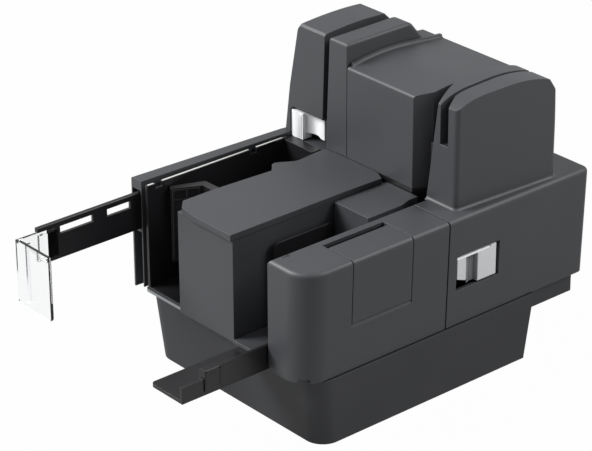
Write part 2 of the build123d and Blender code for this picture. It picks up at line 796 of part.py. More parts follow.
with BuildPart() as feeder_cover:
    add(side_outer)
    add(side_inner, mode=Mode.SUBTRACT)
    box((-1, hopper_wall + 1), (cover_back, body_depth + 1), (0, 2 * shelf_height), Mode.SUBTRACT)
    box((frame_right - 0.4, hopper_wall + 1), (wall, body_depth), (0, floor_z + slip), Mode.SUBTRACT)
    box((hopper_wall - wall - 1, hopper_wall + 1), (-1, wall + 1), (0, floor_z + slip), Mode.SUBTRACT)
    box((-1, hatch_top_reach + hatch_slot), (hatch_front - hatch_gap, hatch_rear + hatch_gap),
        (hatch_bottom - seam, 2 * shelf_height), Mode.SUBTRACT)
    end_prism([(-1, hatch_bottom - seam + 0.1), (sill_reach, hatch_bottom - seam + 0.1),
               (sill_face, hatch_bottom - seam - sill_drop), (-1, hatch_bottom - seam - sill_drop)],
              (hatch_front - hatch_gap, hatch_rear + hatch_gap), Mode.SUBTRACT)
    feed_window(pickup_place, pickup_radius)
    feed_window(feed_place, feed_radius)
    for start in (hatch_front - hatch_gap - 2 * hatch_lug, hatch_rear + hatch_gap):
        box((hatch_axis[0] - 4, hatch_axis[0] + 4), (start, start + 2 * hatch_lug),
            (hatch_axis[1] - 3.5, shelf_height - wall))
        rod(hatch_axis, hatch_hinge_radius + shaft_fit, (start - 1, start + 2 * hatch_lug + 1), Mode.SUBTRACT)
save(feeder_cover, "feeder_cover")

with BuildPart() as feeder_hatch:
    add(side_outer)
    add(side_inner, mode=Mode.SUBTRACT)
    box((-1, hatch_top_reach), (hatch_front, hatch_rear), (hatch_bottom, 2 * shelf_height), Mode.INTERSECT)
    for start, pin_start in ((hatch_front + 1, hatch_front - hatch_lug),
                             (hatch_rear - 1 - hatch_lug, hatch_rear - 1 - hatch_lug)):
        box((hatch_axis[0] - 1.9, hatch_axis[0] + 1.9), (start, start + hatch_lug),
            (hatch_axis[1] - 2.2, shelf_height - wall + 0.1))
        rod(hatch_axis, hatch_hinge_radius, (pin_start, pin_start + 2 * hatch_lug + 1))
save(feeder_hatch, "feeder_hatch")

# --- right door with its tower and card slot ------------------------------------------------------------

def tower_block(inset, reach=0.0):
    """Right tower from below the shelf to its arched top, its inner face moved out by a reach."""
    inner_face = hopper_wall + reach - inset
    base_z = shelf_height - 2 * wall
    tower_right = tower_side_front + inset
    with BuildPart() as block:
        plan_prism([(inner_face, tower_front + inset), (tower_right, tower_front + inset),
                    (tower_side_rear + inset, tower_rear - inset), (inner_face, tower_rear - inset)],
                   (base_z, tower_height + 1))
        fillet(upright_edges(block, tower_right, tower_front + inset), tower_front_radius - inset / 2)
        fillet(upright_edges(block, tower_side_rear + inset, tower_rear - inset),
               tower_rear_radius - inset / 2)
        with BuildSketch(Plane.YZ.offset(from_right(inner_face + 1))) as outline:
            with BuildLine():
                arch = Spline(*[(from_front(back), height - inset) for back, height in tower_arch])
                Polyline(arch @ 1,
                         (from_front(tower_rear - inset - tower_rear_lean),
                          tower_height - tower_rear_drop - inset),
                         (from_front(tower_rear + 1), base_z), (from_front(tower_front - 1), base_z),
                         (from_front(tower_front - 1), tower_arch[-1][1] - inset), arch @ 0)
            make_face()
        extrude(outline.sketch, amount=inner_face + 2, mode=Mode.INTERSECT)
    return block.part


def footed_tower():
    """Right tower above the shelf, with a rounded foot cut off flush with the face towards the path."""
    reach = 4 * tower_foot_radius
    with BuildPart() as tower:
        box((0, hopper_wall + 2 * reach), (tower_front - reach, tower_rear + reach),
            (shelf_height - 2 * wall, shelf_height))
        add(tower_block(0, reach))
        foot = tower.edges().filter_by(
            lambda edge: abs(edge.center().Z - shelf_height) < 0.05
            and from_right(hopper_wall + reach + 1) < edge.center().X < from_right(1)
            and from_front(tower_front - 1) < edge.center().Y < from_front(tower_rear + 1))
        fillet(foot, tower_foot_radius)
        box((0, hopper_wall), (tower_front - reach, tower_rear + reach), (shelf_height, 2 * tower_height),
            Mode.INTERSECT)
    return tower.part


def blade_flare_tool():
    """Wedge that leans back the front of the tower's inner blade, where the path begins."""
    top_height = tower_height + 2
    low = (from_right(hopper_wall), from_front(tower_front), blade_flare_low)
    high = (from_right(hopper_wall - blade_flare), from_front(tower_front), top_height)
    back = (from_right(hopper_wall), from_front(tower_front + blade_flare_depth), top_height)
    with BuildPart() as tool:
        box((hopper_wall - blade_flare - 1, hopper_wall + 1),
            (tower_front - 1, tower_front + blade_flare_depth + 1), (blade_flare_low, top_height))
        split(bisect_by=Plane(Face(Wire.make_polygon([low, high, back]))), keep=Keep.BOTH)
    return tool.solids().sort_by(Axis.X)[0]


with BuildPart() as right_door:
    add(side_outer)
    add(footed_tower())
    add(side_inner, mode=Mode.SUBTRACT)
    box((tower_side_front + wall, hopper_wall - wall), (tower_front + wall, tower_room_rear),
        (shelf_height - 2 * wall, card_slot_floor - wall), Mode.SUBTRACT)
    box((-1, hopper_wall + 1), (-1, door_front), (0, 2 * tower_height), Mode.SUBTRACT)
    box((wall, hopper_wall), (door_front, door_front + wall), (floor_z + slip, shelf_height - wall + 0.1))
    box((frame_right - 0.4, hopper_wall + 1), (door_front - 1, hinge_back + 2), (0, floor_z + slip),
        Mode.SUBTRACT)
    # card slot, widened at its mouth
    plan_prism([(card_slot_across - card_slot_side, tower_rear + 1),
                (card_slot_across - card_slot_side, tower_front + card_flare_depth),
                (card_slot_across - card_flare + card_slot_side, tower_front),
                (card_slot_across - card_flare + card_slot_side, tower_front - 1),
                (card_slot_across + card_slot_side, tower_front - 1),
                (card_slot_across + card_slot_side, tower_rear + 1)],
               (card_slot_floor, 2 * tower_height), Mode.SUBTRACT)
    add(blade_flare_tool(), mode=Mode.SUBTRACT)
    # pocket for the card head, beside the slot
    box((card_head_right - seam, card_slot_across), (card_head_back - card_head_half - slip,
                                                     card_head_back + card_head_half + slip),
        (card_head_height - card_head_half - slip, card_head_height + card_head_half + slip), Mode.SUBTRACT)
    # opening for the guide panel, in the face towards the path
    box((hopper_wall - wall - 1, hopper_wall + 1), guide_back, (right_guide_heights[0], guide_step[1]),
        Mode.SUBTRACT)
    box((hopper_wall - wall - 1, hopper_wall + 1), (guide_step[0], guide_back[1]), right_guide_heights,
        Mode.SUBTRACT)
    # opening and lugs of the latch
    box((-1, 2 * wall), (latch_front - latch_gap, latch_rear + wall),
        (latch_bottom - latch_finger_gap, latch_top + latch_gap), Mode.SUBTRACT)
    for low in (latch_bottom - latch_finger_gap - latch_lug, latch_top + latch_gap):
        box((wall, latch_axis[0] + latch_barrel), (latch_axis[1] - latch_lug, latch_rear + wall),
            (low, low + latch_lug))
    post(latch_axis, latch_pin_radius + press_gap, latch_pin_heights, Mode.SUBTRACT)
    # hinge barrel
    post(right_hinge, door_corner, (floor_z + slip, shelf_height - wall))
    post(right_hinge, hinge_pin_radius + shaft_fit, (0, hinge_top + slip), Mode.SUBTRACT)
    post(right_hinge, door_corner + seam, (0, floor_z + slip), Mode.SUBTRACT)
save(right_door, "right_door")

with BuildPart() as card_head:
    box((card_head_right, card_slot_across - card_slot_side - slip),
        (card_head_back - card_head_half, card_head_back + card_head_half),
        (card_head_height - card_head_half, card_head_height + card_head_half))
    fillet(card_head.edges().filter_by(Axis.Z).group_by(Axis.X)[0], 2.0)
save(card_head, "card_head")

with BuildPart() as right_latch:
    box((latch_face, latch_face + latch_depth), (latch_front, latch_rear), (latch_bottom, latch_top))
    chamfer(right_latch.faces().sort_by(Axis.Z)[-1].edges().sort_by(Axis.X)[-1], 1.6)
    side_prism([(latch_front, latch_bottom + latch_grip_rise), (latch_grip_rear, latch_bottom),
                (latch_front - 1, latch_bottom - 1), (latch_front - 1, latch_bottom + latch_grip_rise)],
               (-1, 2 * latch_depth), Mode.SUBTRACT)
    plan_prism(latch_scoop, (latch_bottom - 1, latch_top - 2.0), Mode.SUBTRACT)
    post(latch_axis, latch_barrel, (latch_bottom, latch_top))
    box((latch_face, latch_axis[0]), (latch_axis[1] - 2, latch_rear), (latch_bottom, latch_top))
    post(latch_axis, latch_pin_radius + shaft_fit, (0, 2 * latch_top), Mode.SUBTRACT)
save(right_latch, "right_latch")

with BuildPart() as right_latch_pin:
    post(latch_axis, latch_pin_radius, latch_pin_heights)
save(right_latch_pin, "right_latch_pin")

with BuildPart() as hinge_pins:
    for spot in (right_hinge, left_hinge):
        post(spot, hinge_pin_radius, (frame_bottom, hinge_top))
save(hinge_pins, "hinge_pins")


def pinch_carrier(spot, across, back):
    """Two arms with an axle between them, for a pinch roller behind a guide."""
    arms = (roller_bottom - slip - pinch_arm, roller_top + slip)
    for low in arms:
        box(across, back, (low, low + pinch_arm))
    post(spot, pinch_pin_radius, (arms[0], arms[1] + pinch_arm))


def guide_panel(face, heights, outward):
    """Flat panel of the path, which fills the opening in a door."""
    across = sorted((face, face - outward * thin_wall))
    box(across, (guide_back[0] + slip, guide_back[1] - slip), (heights[0] + slip, heights[1] - slip))


with BuildPart() as right_guide:
    guide_panel(hopper_wall, right_guide_heights, 1)
    box((0, hopper_wall + 1), (0, guide_step[0] + slip), (guide_step[1] - slip, tower_height),
        Mode.SUBTRACT)
    box((0, hopper_wall + 1), (pinch_1[1] - pinch_window, pinch_1[1] + pinch_window),
        (window_bottom, window_top), Mode.SUBTRACT)
    box((0, hopper_wall + 1), (sensor_back[0] - seam, sensor_back[1] + seam),
        (sensor_heights[0] - seam, sensor_heights[1] + seam), Mode.SUBTRACT)
    pinch_carrier(pinch_1, (pinch_1[0] - pinch_half, hopper_wall - thin_wall + 0.1),
                  (pinch_1[1] - pinch_half, pinch_1[1] + pinch_half))
    for low in (sensor_heights[0] - slip - thin_wall, sensor_heights[1] + slip):
        box((hopper_wall - sensor_depth, hopper_wall), sensor_back, (low, low + thin_wall))
save(right_guide, "right_guide")


def line_sensor(face, outward):
    """Line camera: a long box with a raised lens strip towards the path."""
    box(sorted((face, face - outward * sensor_depth)), sensor_back, sensor_heights)
    box(sorted((face - outward, face + outward * sensor_lens)), (sensor_back[0] + 5, sensor_back[1] - 5),
        (sensor_heights[0] + 4, sensor_heights[1] - 4))


with BuildPart() as door_sensor:
    line_sensor(hopper_wall - sensor_recess, 1)
save(door_sensor, "door_sensor")

# === core of the path ==================================================================================


def core_prism(rear, corner, height, inset=0.0, mode=Mode.ADD):
    """Upright prism on the core's plan, with a funnel at the front right and rounded rear corners."""
    with BuildSketch(Plane.XY.offset(height[0])) as outline:
        Polygon(*[place(spot) for spot in (
            (core_right + funnel_width + inset, core_front + inset),
            (core_right + inset, core_front + funnel_depth),
            (core_right + inset, rear - inset),
            (core_left - inset, rear - inset),
            (core_left - inset, core_front + inset))], align=None)
        fillet(outline.vertices().group_by(Axis.Y)[-1], corner - inset)
    extrude(outline.sketch, amount=height[1] - height[0], mode=mode)


with BuildPart() as inner_guide:
    core_prism(core_rear, core_corner, (guide_bottom, guide_top))
    core_prism(core_rear, core_corner, (0, 2 * guide_top), thin_wall, Mode.SUBTRACT)
    box((0, drive_roller_1[0] + wall), (drive_roller_1[1] - drive_window, drive_roller_1[1] + drive_window),
        (window_bottom, window_top), Mode.SUBTRACT)
    box((drive_roller_2[0] - drive_window, drive_roller_2[0] + drive_window), (drive_roller_2[1], body_depth),
        (window_bottom, window_top), Mode.SUBTRACT)
    box((drive_roller_3[0], body_width), (drive_roller_3[1] - drive_window, drive_roller_3[1] + drive_window),
        (window_bottom, window_top), Mode.SUBTRACT)
    # windows and shelves of the line camera and of the code head
    box((0, core_right + sensor_depth), (sensor_back[0] - seam, sensor_back[1] + seam),
        (sensor_heights[0] - slip, 2 * guide_top), Mode.SUBTRACT)
    box((core_right, core_right + sensor_depth), sensor_back,
        (sensor_heights[0] - slip - thin_wall, sensor_heights[0] - slip))
    box((0, core_right + code_head_depth), (code_head_back[0] - slip, code_head_back[1] + slip),
        (code_head_heights[0] - slip, code_head_heights[1] + slip), Mode.SUBTRACT)
    box((core_right, core_right + code_head_depth), code_head_back,
        (code_head_heights[0] - slip - thin_wall, code_head_heights[0] - slip))
    # shelf of the print head
    box((cartridge_across[0] - 1, core_left - 1), (cartridge_back[0] - 2, cartridge_back[1] + 2),
        (guide_top - thin_wall, guide_top))
save(inner_guide, "inner_guide")

with BuildPart() as core_sensor:
    line_sensor(core_right + sensor_recess, -1)
save(core_sensor, "core_sensor")

with BuildPart() as code_head:
    box((core_right - 0.6, core_right + code_head_depth), code_head_back, code_head_heights)
    fillet(code_head.edges().filter_by(Axis.Z).group_by(Axis.X)[-1], 2.0)
save(code_head, "code_head")


def centre_block(rise, across, start):
    """Centre block between two distances across, from a start backwards, its arched top raised."""
    with BuildPart() as block:
        core_prism(core_rear, core_corner, (guide_top, cap_bottom))
        core_prism(cap_rear, cap_corner, (cap_bottom, block_height + rise + 1))
        with BuildSketch(Plane.YZ.offset(from_right(core_left + 1))) as outline:
            with BuildLine():
                arch = Spline((from_front(core_front), block_front_height + rise),
                              (from_front(core_front + 12), block_height + rise - arch_drop),
                              (from_front(core_front + 32), block_height + rise),
                              (from_front(core_front + 52), block_height + rise - arch_drop),
                              (from_front(cap_rear + 1), block_rear_height + rise))
                Polyline(arch @ 1, (from_front(cap_rear + 1), guide_top - 1),
                         (from_front(core_front), guide_top - 1), arch @ 0)
            make_face()
            brow = outline.vertices().sort_by_distance((from_front(core_front), block_front_height + rise))
            fillet(brow[0], block_rim)
        extrude(outline.sketch, amount=core_left + 2, mode=Mode.INTERSECT)
        box(across, (start, body_depth), (0, 2 * tower_height), Mode.INTERSECT)
    return block.part


with BuildPart() as centre_cover:
    add(centre_block(0, (0, pier_side), 0))
    add(centre_block(pier_foot_radius, (pier_side - pier_foot_radius, pier_side),
                     core_front + block_rim + seam))
    # hollow concave foot along the pier
    foot = centre_cover.edges().filter_by(
        lambda edge: abs(edge.center().X - from_right(pier_side - pier_foot_radius)) < 0.1
        and edge.center().Z > cap_bottom and edge.length > 20)
    fillet(foot.sort_by(Axis.Z)[0], pier_foot_radius - 0.2)
    core_prism(core_rear, core_corner, (0, block_roof), wall, Mode.SUBTRACT)
    box((pier_side - wall, pier_side), (core_front + 1, core_rear), (guide_top, block_roof + 0.1))
    # window of the line camera
    box((0, core_right + sensor_depth + sensor_recess + slip), (sensor_back[0] - seam, sensor_back[1] + seam),
        (0, sensor_heights[1] + slip), Mode.SUBTRACT)
save(centre_cover, "centre_cover")

with BuildPart() as pier_cover:
    core_prism(core_rear, core_corner, (guide_top, cap_bottom))
    core_prism(cap_rear, cap_corner, (cap_bottom, pier_height + 1))
    with BuildSketch(Plane.YZ.offset(from_right(core_left + 1))) as outline:
        Polygon((from_front(core_front - 1), guide_top - 1), (from_front(core_front - 1), pier_height - 0.4),
                (from_front(pier_top_rear), pier_height), (from_front(pier_slope_rear), pier_step_height),
                (from_front(cap_rear + 1), block_rear_height), (from_front(cap_rear + 1), guide_top - 1),
                align=None)
        top_corner = outline.vertices().sort_by_distance((from_front(pier_top_rear), pier_height))[0]
        fillet(top_corner, pier_top_radius)
        step_corner = outline.vertices().sort_by_distance((from_front(pier_slope_rear), pier_step_height))[0]
        fillet(step_corner, pier_step_radius)
    extrude(outline.sketch, amount=core_left + 2, mode=Mode.INTERSECT)
    box((pier_right + seam / 2, core_left), (0, body_depth), (0, 2 * tower_height), Mode.INTERSECT)
    end_prism([(core_left, guide_top), (core_left + 1, guide_top), (core_left + 1, 2 * pier_height),
               (core_left - pier_draft, pier_height + 1)], (0, body_depth), Mode.SUBTRACT)
    crest = pier_cover.edges().filter_by(
        lambda edge: edge.center().Z > pier_height - 2 and edge.center().Y < from_front(pier_top_rear - 4))
    fillet(crest.filter_by(lambda edge: abs(edge.tangent_at(0.5).Z) < 0.3), pier_rim)
    # room for the print head and its nozzle
    box((pier_right + seam / 2 + thin_wall, core_left - pier_draft - thin_wall),
        (core_front + wall, pier_top_rear - wall), (0, cartridge_top + 1), Mode.SUBTRACT)
    box((cartridge_across[0], core_left + 1), (nozzle_back[0] - seam, nozzle_back[1] + seam),
        (nozzle_heights[0] - seam, nozzle_heights[1] + seam), Mode.SUBTRACT)
save(pier_cover, "pier_cover")

with BuildPart() as ink_cartridge:
    box(cartridge_across, cartridge_back, (guide_top + slip, cartridge_top))
    fillet(ink_cartridge.edges().filter_by(Axis.Z), 1.5)
    box((cartridge_across[1] - 1, core_left - 1), nozzle_back, nozzle_heights)
save(ink_cartridge, "ink_cartridge")

# === rear cover with the outer guide of the turn, and the power switch =================================
with BuildPart() as rear_cover:
    core_prism(core_rear, core_corner, (floor_z + 1, turn_top), -turn_outer)
    box(rear_cover_sides, (turn_front, body_depth), (shelf_height - wall, shelf_height))
    box(rear_cover_sides, (body_depth - wall, body_depth), (body_bottom, shelf_height))
    for across in (rear_cover_sides[0], rear_cover_sides[1] - wall):
        box((across, across + wall), (rear_cover_front, body_depth), (floor_z + slip, shelf_height))
    core_prism(core_rear, core_corner, (0, 2 * turn_top), -turn_gap, Mode.SUBTRACT)
    box((0, rear_cover_sides[0]), (0, body_depth), (0, 2 * turn_top), Mode.SUBTRACT)
    box((rear_cover_sides[1], body_width), (0, body_depth), (0, 2 * turn_top), Mode.SUBTRACT)
    box((0, motor_place[0]), (0, turn_front), (0, 2 * turn_top), Mode.SUBTRACT)
    box((motor_place[0], body_width), (0, turn_left_front), (0, 2 * turn_top), Mode.SUBTRACT)
    box((left_guide_plane - left_tower_lean - seam, body_width), (0, rear_cover_front),
        (shelf_height, 2 * turn_top), Mode.SUBTRACT)
    # window and carrier of the rear pinch roller
    box((pinch_2[0] - pinch_window, pinch_2[0] + pinch_window), (core_rear, rear_cover_front + 1),
        (window_bottom, window_top), Mode.SUBTRACT)
    pinch_carrier(pinch_2, (pinch_2[0] - pinch_half, pinch_2[0] + pinch_half),
                  (rear_cover_front - 0.1, pinch_2[1] + pinch_half))
    # opening and lugs of the power switch
    box((switch_across - switch_half_width - slip, switch_across + switch_half_width + slip),
        (body_depth - 2 * wall, body_depth + 1), (switch_height - switch_room, switch_height + switch_room),
        Mode.SUBTRACT)
    for side in (-1, 1):
        lug = sorted((switch_across + side * (switch_half_width + slip),
                      switch_across + side * (switch_half_width + slip + wall)))
        box(lug, (switch_pivot_back - 3, body_depth - wall + 0.1), (switch_height - 3, switch_height + 3))
    with BuildSketch(Plane.YZ.offset(from_right(switch_across + 2 * switch_half_width))) as bore:
        with Locations((from_front(switch_pivot_back), switch_height)):
            Circle(latch_pin_radius + shaft_fit)
    extrude(bore.sketch, amount=4 * switch_half_width, mode=Mode.SUBTRACT)
save(rear_cover, "rear_cover")


def rocker_point(out, up):
    """(back, height) of a point of the rocker, tilted to its off position."""
    turned = Vector(out, up, 0).rotate(Axis.Z, -switch_tilt)
    return (switch_pivot_back + turned.X, switch_height + turned.Y)


with BuildPart() as power_switch:
    side_prism([rocker_point(-3, -switch_half_height), rocker_point(switch_depth, -switch_half_height),
                rocker_point(switch_depth - switch_dish, 0), rocker_point(switch_depth, switch_half_height),
                rocker_point(-3, switch_half_height)],
               (switch_across - switch_half_width, switch_across + switch_half_width))
    with BuildSketch(Plane.YZ.offset(from_right(switch_across + switch_half_width + wall))) as pivot:
        with Locations((from_front(switch_pivot_back), switch_height)):
            Circle(latch_pin_radius)
    extrude(pivot.sketch, amount=2 * (switch_half_width + wall))
save(power_switch, "power_switch")

# === left door with its tower, guide and lever =========================================================


def left_block(inset, bottom):
    """Body of the left door with rounded rear corners, set in by a wall thickness."""
    with BuildPart() as block:
        box((left_guide_plane + inset, left_outer - inset), (left_front + inset, body_depth - inset),
            (bottom, deck_height - inset))
        fillet(upright_edges(block, left_guide_plane + inset, body_depth - inset), door_corner - inset)
        fillet(upright_edges(block, left_outer - inset, body_depth - inset), door_corner - inset)
        rim = block.faces().sort_by(Axis.Z)[-1].edges().filter_by(Axis.Y).sort_by(Axis.X)[0]
        fillet(rim, left_rim)
    return block.part


def left_tower(inset):
    """Left tower: upright inner face that leans over the path, sloping outer side and rear."""
    base_z = deck_height - 2 * wall
    with BuildPart() as block:
        end_prism([(left_guide_plane + inset, base_z),
                   (left_guide_plane - left_tower_lean + inset, left_tower_height + 1),
                   (left_tower_top - inset, left_tower_height + 1),
                   (left_tower_shoulder[0] - inset, left_tower_shoulder[1]),
                   (left_tower_foot[0] - inset, left_tower_foot[1]), (left_tower_foot[0] - inset, base_z)],
                  (left_front + inset, left_tower_rear_foot))
        with BuildSketch(Plane.YZ.offset(from_right(left_outer))) as outline:
            with BuildLine():
                arch = Spline(*[(from_front(back), height - inset) for back, height in left_tower_arch])
                Polyline(arch @ 1, (from_front(left_tower_rear[0] - inset), left_tower_rear[1]),
                         (from_front(left_tower_rear_foot - inset), base_z),
                         (from_front(left_front), base_z),
                         (from_front(left_front), left_tower_arch[0][1] - left_tower_rim), arch @ 0)
            make_face()
        extrude(outline.sketch, amount=left_outer, mode=Mode.INTERSECT)
    return block.part


with BuildPart() as left_door:
    add(left_block(0, body_bottom))
    add(left_tower(0))
    ridge = left_door.edges().filter_by(
        lambda edge: edge.center().Z > left_tower_shoulder[1]
        and edge.center().X < from_right(left_tower_top - 3))
    fillet(ridge.filter_by(lambda edge: abs(edge.tangent_at(0.5).Y) > 0.5), left_tower_radius)
    add(left_block(wall, body_bottom - 1), mode=Mode.SUBTRACT)
    tower_room = left_tower(wall)
    add(tower_room.split(Plane.XZ.offset(-from_front(lever_recess_rear + wall)), keep=Keep.BOTTOM),
        mode=Mode.SUBTRACT)
    box((left_guide_plane - 1, frame_left + 0.4), (left_front - 1, hinge_back + 2), (0, floor_z + slip),
        Mode.SUBTRACT)
    box((left_guide_plane + wall, left_outer - wall), (left_front + 1, lever_recess_rear + wall),
        (lever_recess_bottom - wall, lever_recess_bottom + 1))
    # recess and pin holes of the lever
    end_prism([(left_guide_plane - left_tower_lean - 1, lever_recess_bottom),
               (lever_recess_left, lever_recess_bottom),
               (lever_recess_left, lever_recess_top - lever_recess_corner),
               (lever_recess_left - lever_recess_corner, lever_recess_top),
               (left_guide_plane - left_tower_lean - 1, lever_recess_top)],
              (left_front - 1, lever_recess_rear), Mode.SUBTRACT)
    post(lever_axis, latch_pin_radius + press_gap, lever_pin_heights, Mode.SUBTRACT)
    # opening for the guide panel, in the face towards the path
    box((left_guide_plane - 1, left_guide_plane + wall + 0.1), guide_back_left, left_guide_heights,
        Mode.SUBTRACT)
    # hinge barrel
    post(left_hinge, door_corner, (floor_z + slip, deck_height - wall))
    post(left_hinge, hinge_pin_radius + shaft_fit, (0, hinge_top + slip), Mode.SUBTRACT)
    post(left_hinge, door_corner + seam, (0, floor_z + slip), Mode.SUBTRACT)
save(left_door, "left_door")

with BuildPart() as left_guide:
    box((left_guide_plane, left_guide_plane + thin_wall),
        (guide_back_left[0] + slip, guide_back_left[1] - slip),
        (left_guide_heights[0] + slip, left_guide_heights[1] - slip))
    box((0, body_width), (pinch_3[1] - pinch_window, pinch_3[1] + pinch_window),
        (window_bottom, window_top), Mode.SUBTRACT)
    pinch_carrier(pinch_3, (left_guide_plane + thin_wall - 0.1, pinch_3[0] + pinch_half),
                  (pinch_3[1] - pinch_half, pinch_3[1] + pinch_half))
save(left_guide, "left_guide")

with BuildPart() as left_lever:
    with BuildSketch(Plane.XY.offset(lever_bottom)) as outline:
        with BuildLine():
            face = Spline(*[place(spot) for spot in around(lever_axis, lever_face)])
            back_side = Spline(*[place(spot) for spot in around(lever_axis, lever_rear)])
            Line(face @ 1, back_side @ 0)
            Line(back_side @ 1, face @ 0)
        make_face()
    extrude(outline.sketch, amount=lever_top - lever_bottom)
    box((0, lever_arm_left), (0, body_depth), (0, lever_arm_bottom), Mode.SUBTRACT)
    box((lever_arm_left, lever_axis[0] + 2.0), (left_front, left_front + lever_pad_depth),
        (lever_bottom, lever_top))
    post(lever_axis, latch_pin_radius + shaft_fit, (0, 2 * lever_top), Mode.SUBTRACT)
save(left_lever, "left_lever")

with BuildPart() as left_lever_pin:
    post(lever_axis, latch_pin_radius, lever_pin_heights)
save(left_lever_pin, "left_lever_pin")

# === pocket: outer wall, liner, extension plate with its stopper, flap =================================
with BuildPart() as pocket_wall:
    plan_prism([(body_width, pocket_front), (body_width - outer_skin, pocket_front),
                (left_outer - outer_skin, pocket_wall_rear), (left_outer, pocket_wall_rear)],
               (body_bottom, deck_height))
    plan_prism([(body_width, pocket_front), (inner_skin_right, pocket_front), (pocket_cap_rear, pocket_rear),
                (pocket_cap_rear, pocket_wall_rear), (left_outer, pocket_wall_rear)],
               (cap_under, deck_height))
    crown = pocket_wall.faces().sort_by(Axis.Z)[-1].edges().filter_by(lambda edge: edge.length > 50)
    fillet(crown.sort_by(Axis.X)[0], crown_radius)
    box((inner_skin_right, inner_skin_right + inner_skin), (pocket_front, channel_rear),
        (floor_z + slip, cap_under))
    box((inner_skin_right, left_outer - outer_skin / 2), (pocket_wall_rear - thin_wall, pocket_wall_rear),
        (floor_z + slip, cap_under))
    plan_prism([(body_width - outer_skin / 2, pocket_front), (inner_skin_right, pocket_front),
                (inner_skin_right, pocket_wall_rear), (left_outer - outer_skin / 2, pocket_wall_rear)],
               (channel_floor - thin_wall, channel_floor))
save(pocket_wall, "pocket_wall")

with BuildPart() as pocket_liner:
    box((liner_right, pocket_liner_left), (pocket_front, pocket_rear + thin_wall),
        (floor_z + slip, pocket_floor))
    box((liner_wall_right, pocket_liner_left), (pocket_front, pocket_rear + thin_wall),
        (floor_z + slip, liner_top))
    box((left_guide_plane + 0.1, pocket_liner_left), (pocket_rear, pocket_rear + thin_wall),
        (floor_z + slip, liner_rear_top))
    box((left_guide_plane + 0.1, pocket_liner_left), (pocket_rear, pocket_wall_rear - slip),
        (liner_rear_top - thin_wall, liner_rear_top))
    for back in liner_notches:
        box((liner_wall_right - 1, pocket_liner_left + 1), (back - liner_notch_half, back + liner_notch_half),
            (liner_top - liner_notch_depth, liner_top + 1), Mode.SUBTRACT)
save(pocket_liner, "pocket_liner")

with BuildPart() as extension_plate:
    box((plate_inner, plate_outer), (-plate_out, plate_inside), (plate_bottom, plate_top))
    box((plate_inner - plate_bead_step, plate_outer + plate_bead_step), (-plate_bead_out, plate_inside),
        (plate_web_top, plate_top))
    bead = extension_plate.edges().filter_by(Axis.Y).filter_by(lambda edge: edge.center().Z > plate_top - 0.1)
    fillet(bead, 1.0)
    for window in plate_windows:
        box((plate_inner - 1, plate_outer + 1), window,
            (plate_window_bottom, plate_window_bottom + plate_window_height), Mode.SUBTRACT)
save(extension_plate, "extension_plate")

with BuildPart() as clear_stopper:
    side_prism([(stopper_front + stopper_wall, stopper_ear), (stopper_front + stopper_ear_reach, stopper_ear),
                (-plate_out - stopper_edge, stopper_foot), (-plate_out - 0.1, stopper_foot),
                (-plate_out - 0.1, stopper_top), (stopper_front + 0.1, stopper_top),
                (stopper_front + 0.1, stopper_ear)], (plate_inner, plate_outer))
    box((plate_inner - plate_web, plate_inner), (-plate_bead_out, stopper_pad - plate_out),
        (stopper_foot + 3 * stopper_edge, stopper_top - 1.2))
    box((stopper_right, plate_outer), (stopper_front, stopper_front + stopper_wall),
        (stopper_bottom, stopper_top))
    corners = clear_stopper.edges().filter_by(Axis.Y).filter_by(
        lambda edge: abs(edge.center().Y - from_front(stopper_front + stopper_wall / 2)) < 0.1)
    fillet(corners.filter_by(lambda edge: edge.center().Z < stopper_bottom + 1), stopper_corner)
    box((stopper_rib, stopper_rib + stopper_rib_width),
        (stopper_front + stopper_wall - 0.1, stopper_front + 2 * stopper_wall),
        (stopper_bottom + 2 * stopper_wall, stopper_top))
save(clear_stopper, "clear_stopper")

# === deck cover, flap and hopper =======================================================================
with BuildPart() as deck_cover:
    plan_prism(deck_top_plan, (deck_height - deck_thickness, deck_height))
    box((deck_right, deck_left), (deck_front, deck_rear), (floor_z + slip, deck_height - deck_thickness))
    box((deck_right + wall, deck_left - wall), (deck_front + wall, deck_rear - wall),
        (0, deck_height - wall), Mode.SUBTRACT)
    for low in flap_lug_heights:
        box((deck_left - 1, flap_axis[0]), (flap_axis[1] - flap_lug, flap_axis[1] + flap_lug),
            (low, low + flap_lug))
        post(flap_axis, flap_lug, (low, low + flap_lug))
    post(flap_axis, latch_pin_radius, (flap_lug_heights[0], flap_lug_heights[1] + flap_lug))
    # bush of the pusher rod
    with BuildSketch(Plane.YZ.offset(from_right(deck_right + 4 * wall))) as bush:
        with Locations((from_front(pusher_rod[0]), pusher_rod[1])):
            Circle(pusher_rod_radius + wall)
    extrude(bush.sketch, amount=3 * wall + 0.5)
    with BuildSketch(Plane.YZ.offset(from_right(deck_right + 5 * wall))) as bore:
        with Locations((from_front(pusher_rod[0]), pusher_rod[1])):
            Circle(pusher_rod_radius + shaft_fit)
    extrude(bore.sketch, amount=6 * wall, mode=Mode.SUBTRACT)
save(deck_cover, "deck_cover")

with BuildPart() as pocket_flap:
    post(flap_axis, flap_knuckle, (flap_bottom, flap_knuckle_top))
    plan_prism(around(flap_axis, flap_arm), (flap_bottom, flap_knuckle_top))
    plan_prism(around(flap_axis, flap_blade), (flap_bottom, flap_top))
    post(flap_axis, latch_pin_radius + shaft_fit, (0, 2 * flap_top), Mode.SUBTRACT)
save(pocket_flap, "pocket_flap")

with BuildPart() as hopper_floor:
    plan_prism([(hopper_left, hopper_floor_front), (hopper_floor_right, hopper_floor_front),
                (hopper_floor_right, extension_rear / 2), (feed_block_right, extension_rear / 2),
                (feed_block_right, feed_block_front - seam), (hopper_left, feed_block_front - seam)],
               (hopper_floor_bottom, hopper_floor_top))
save(hopper_floor, "hopper_floor")


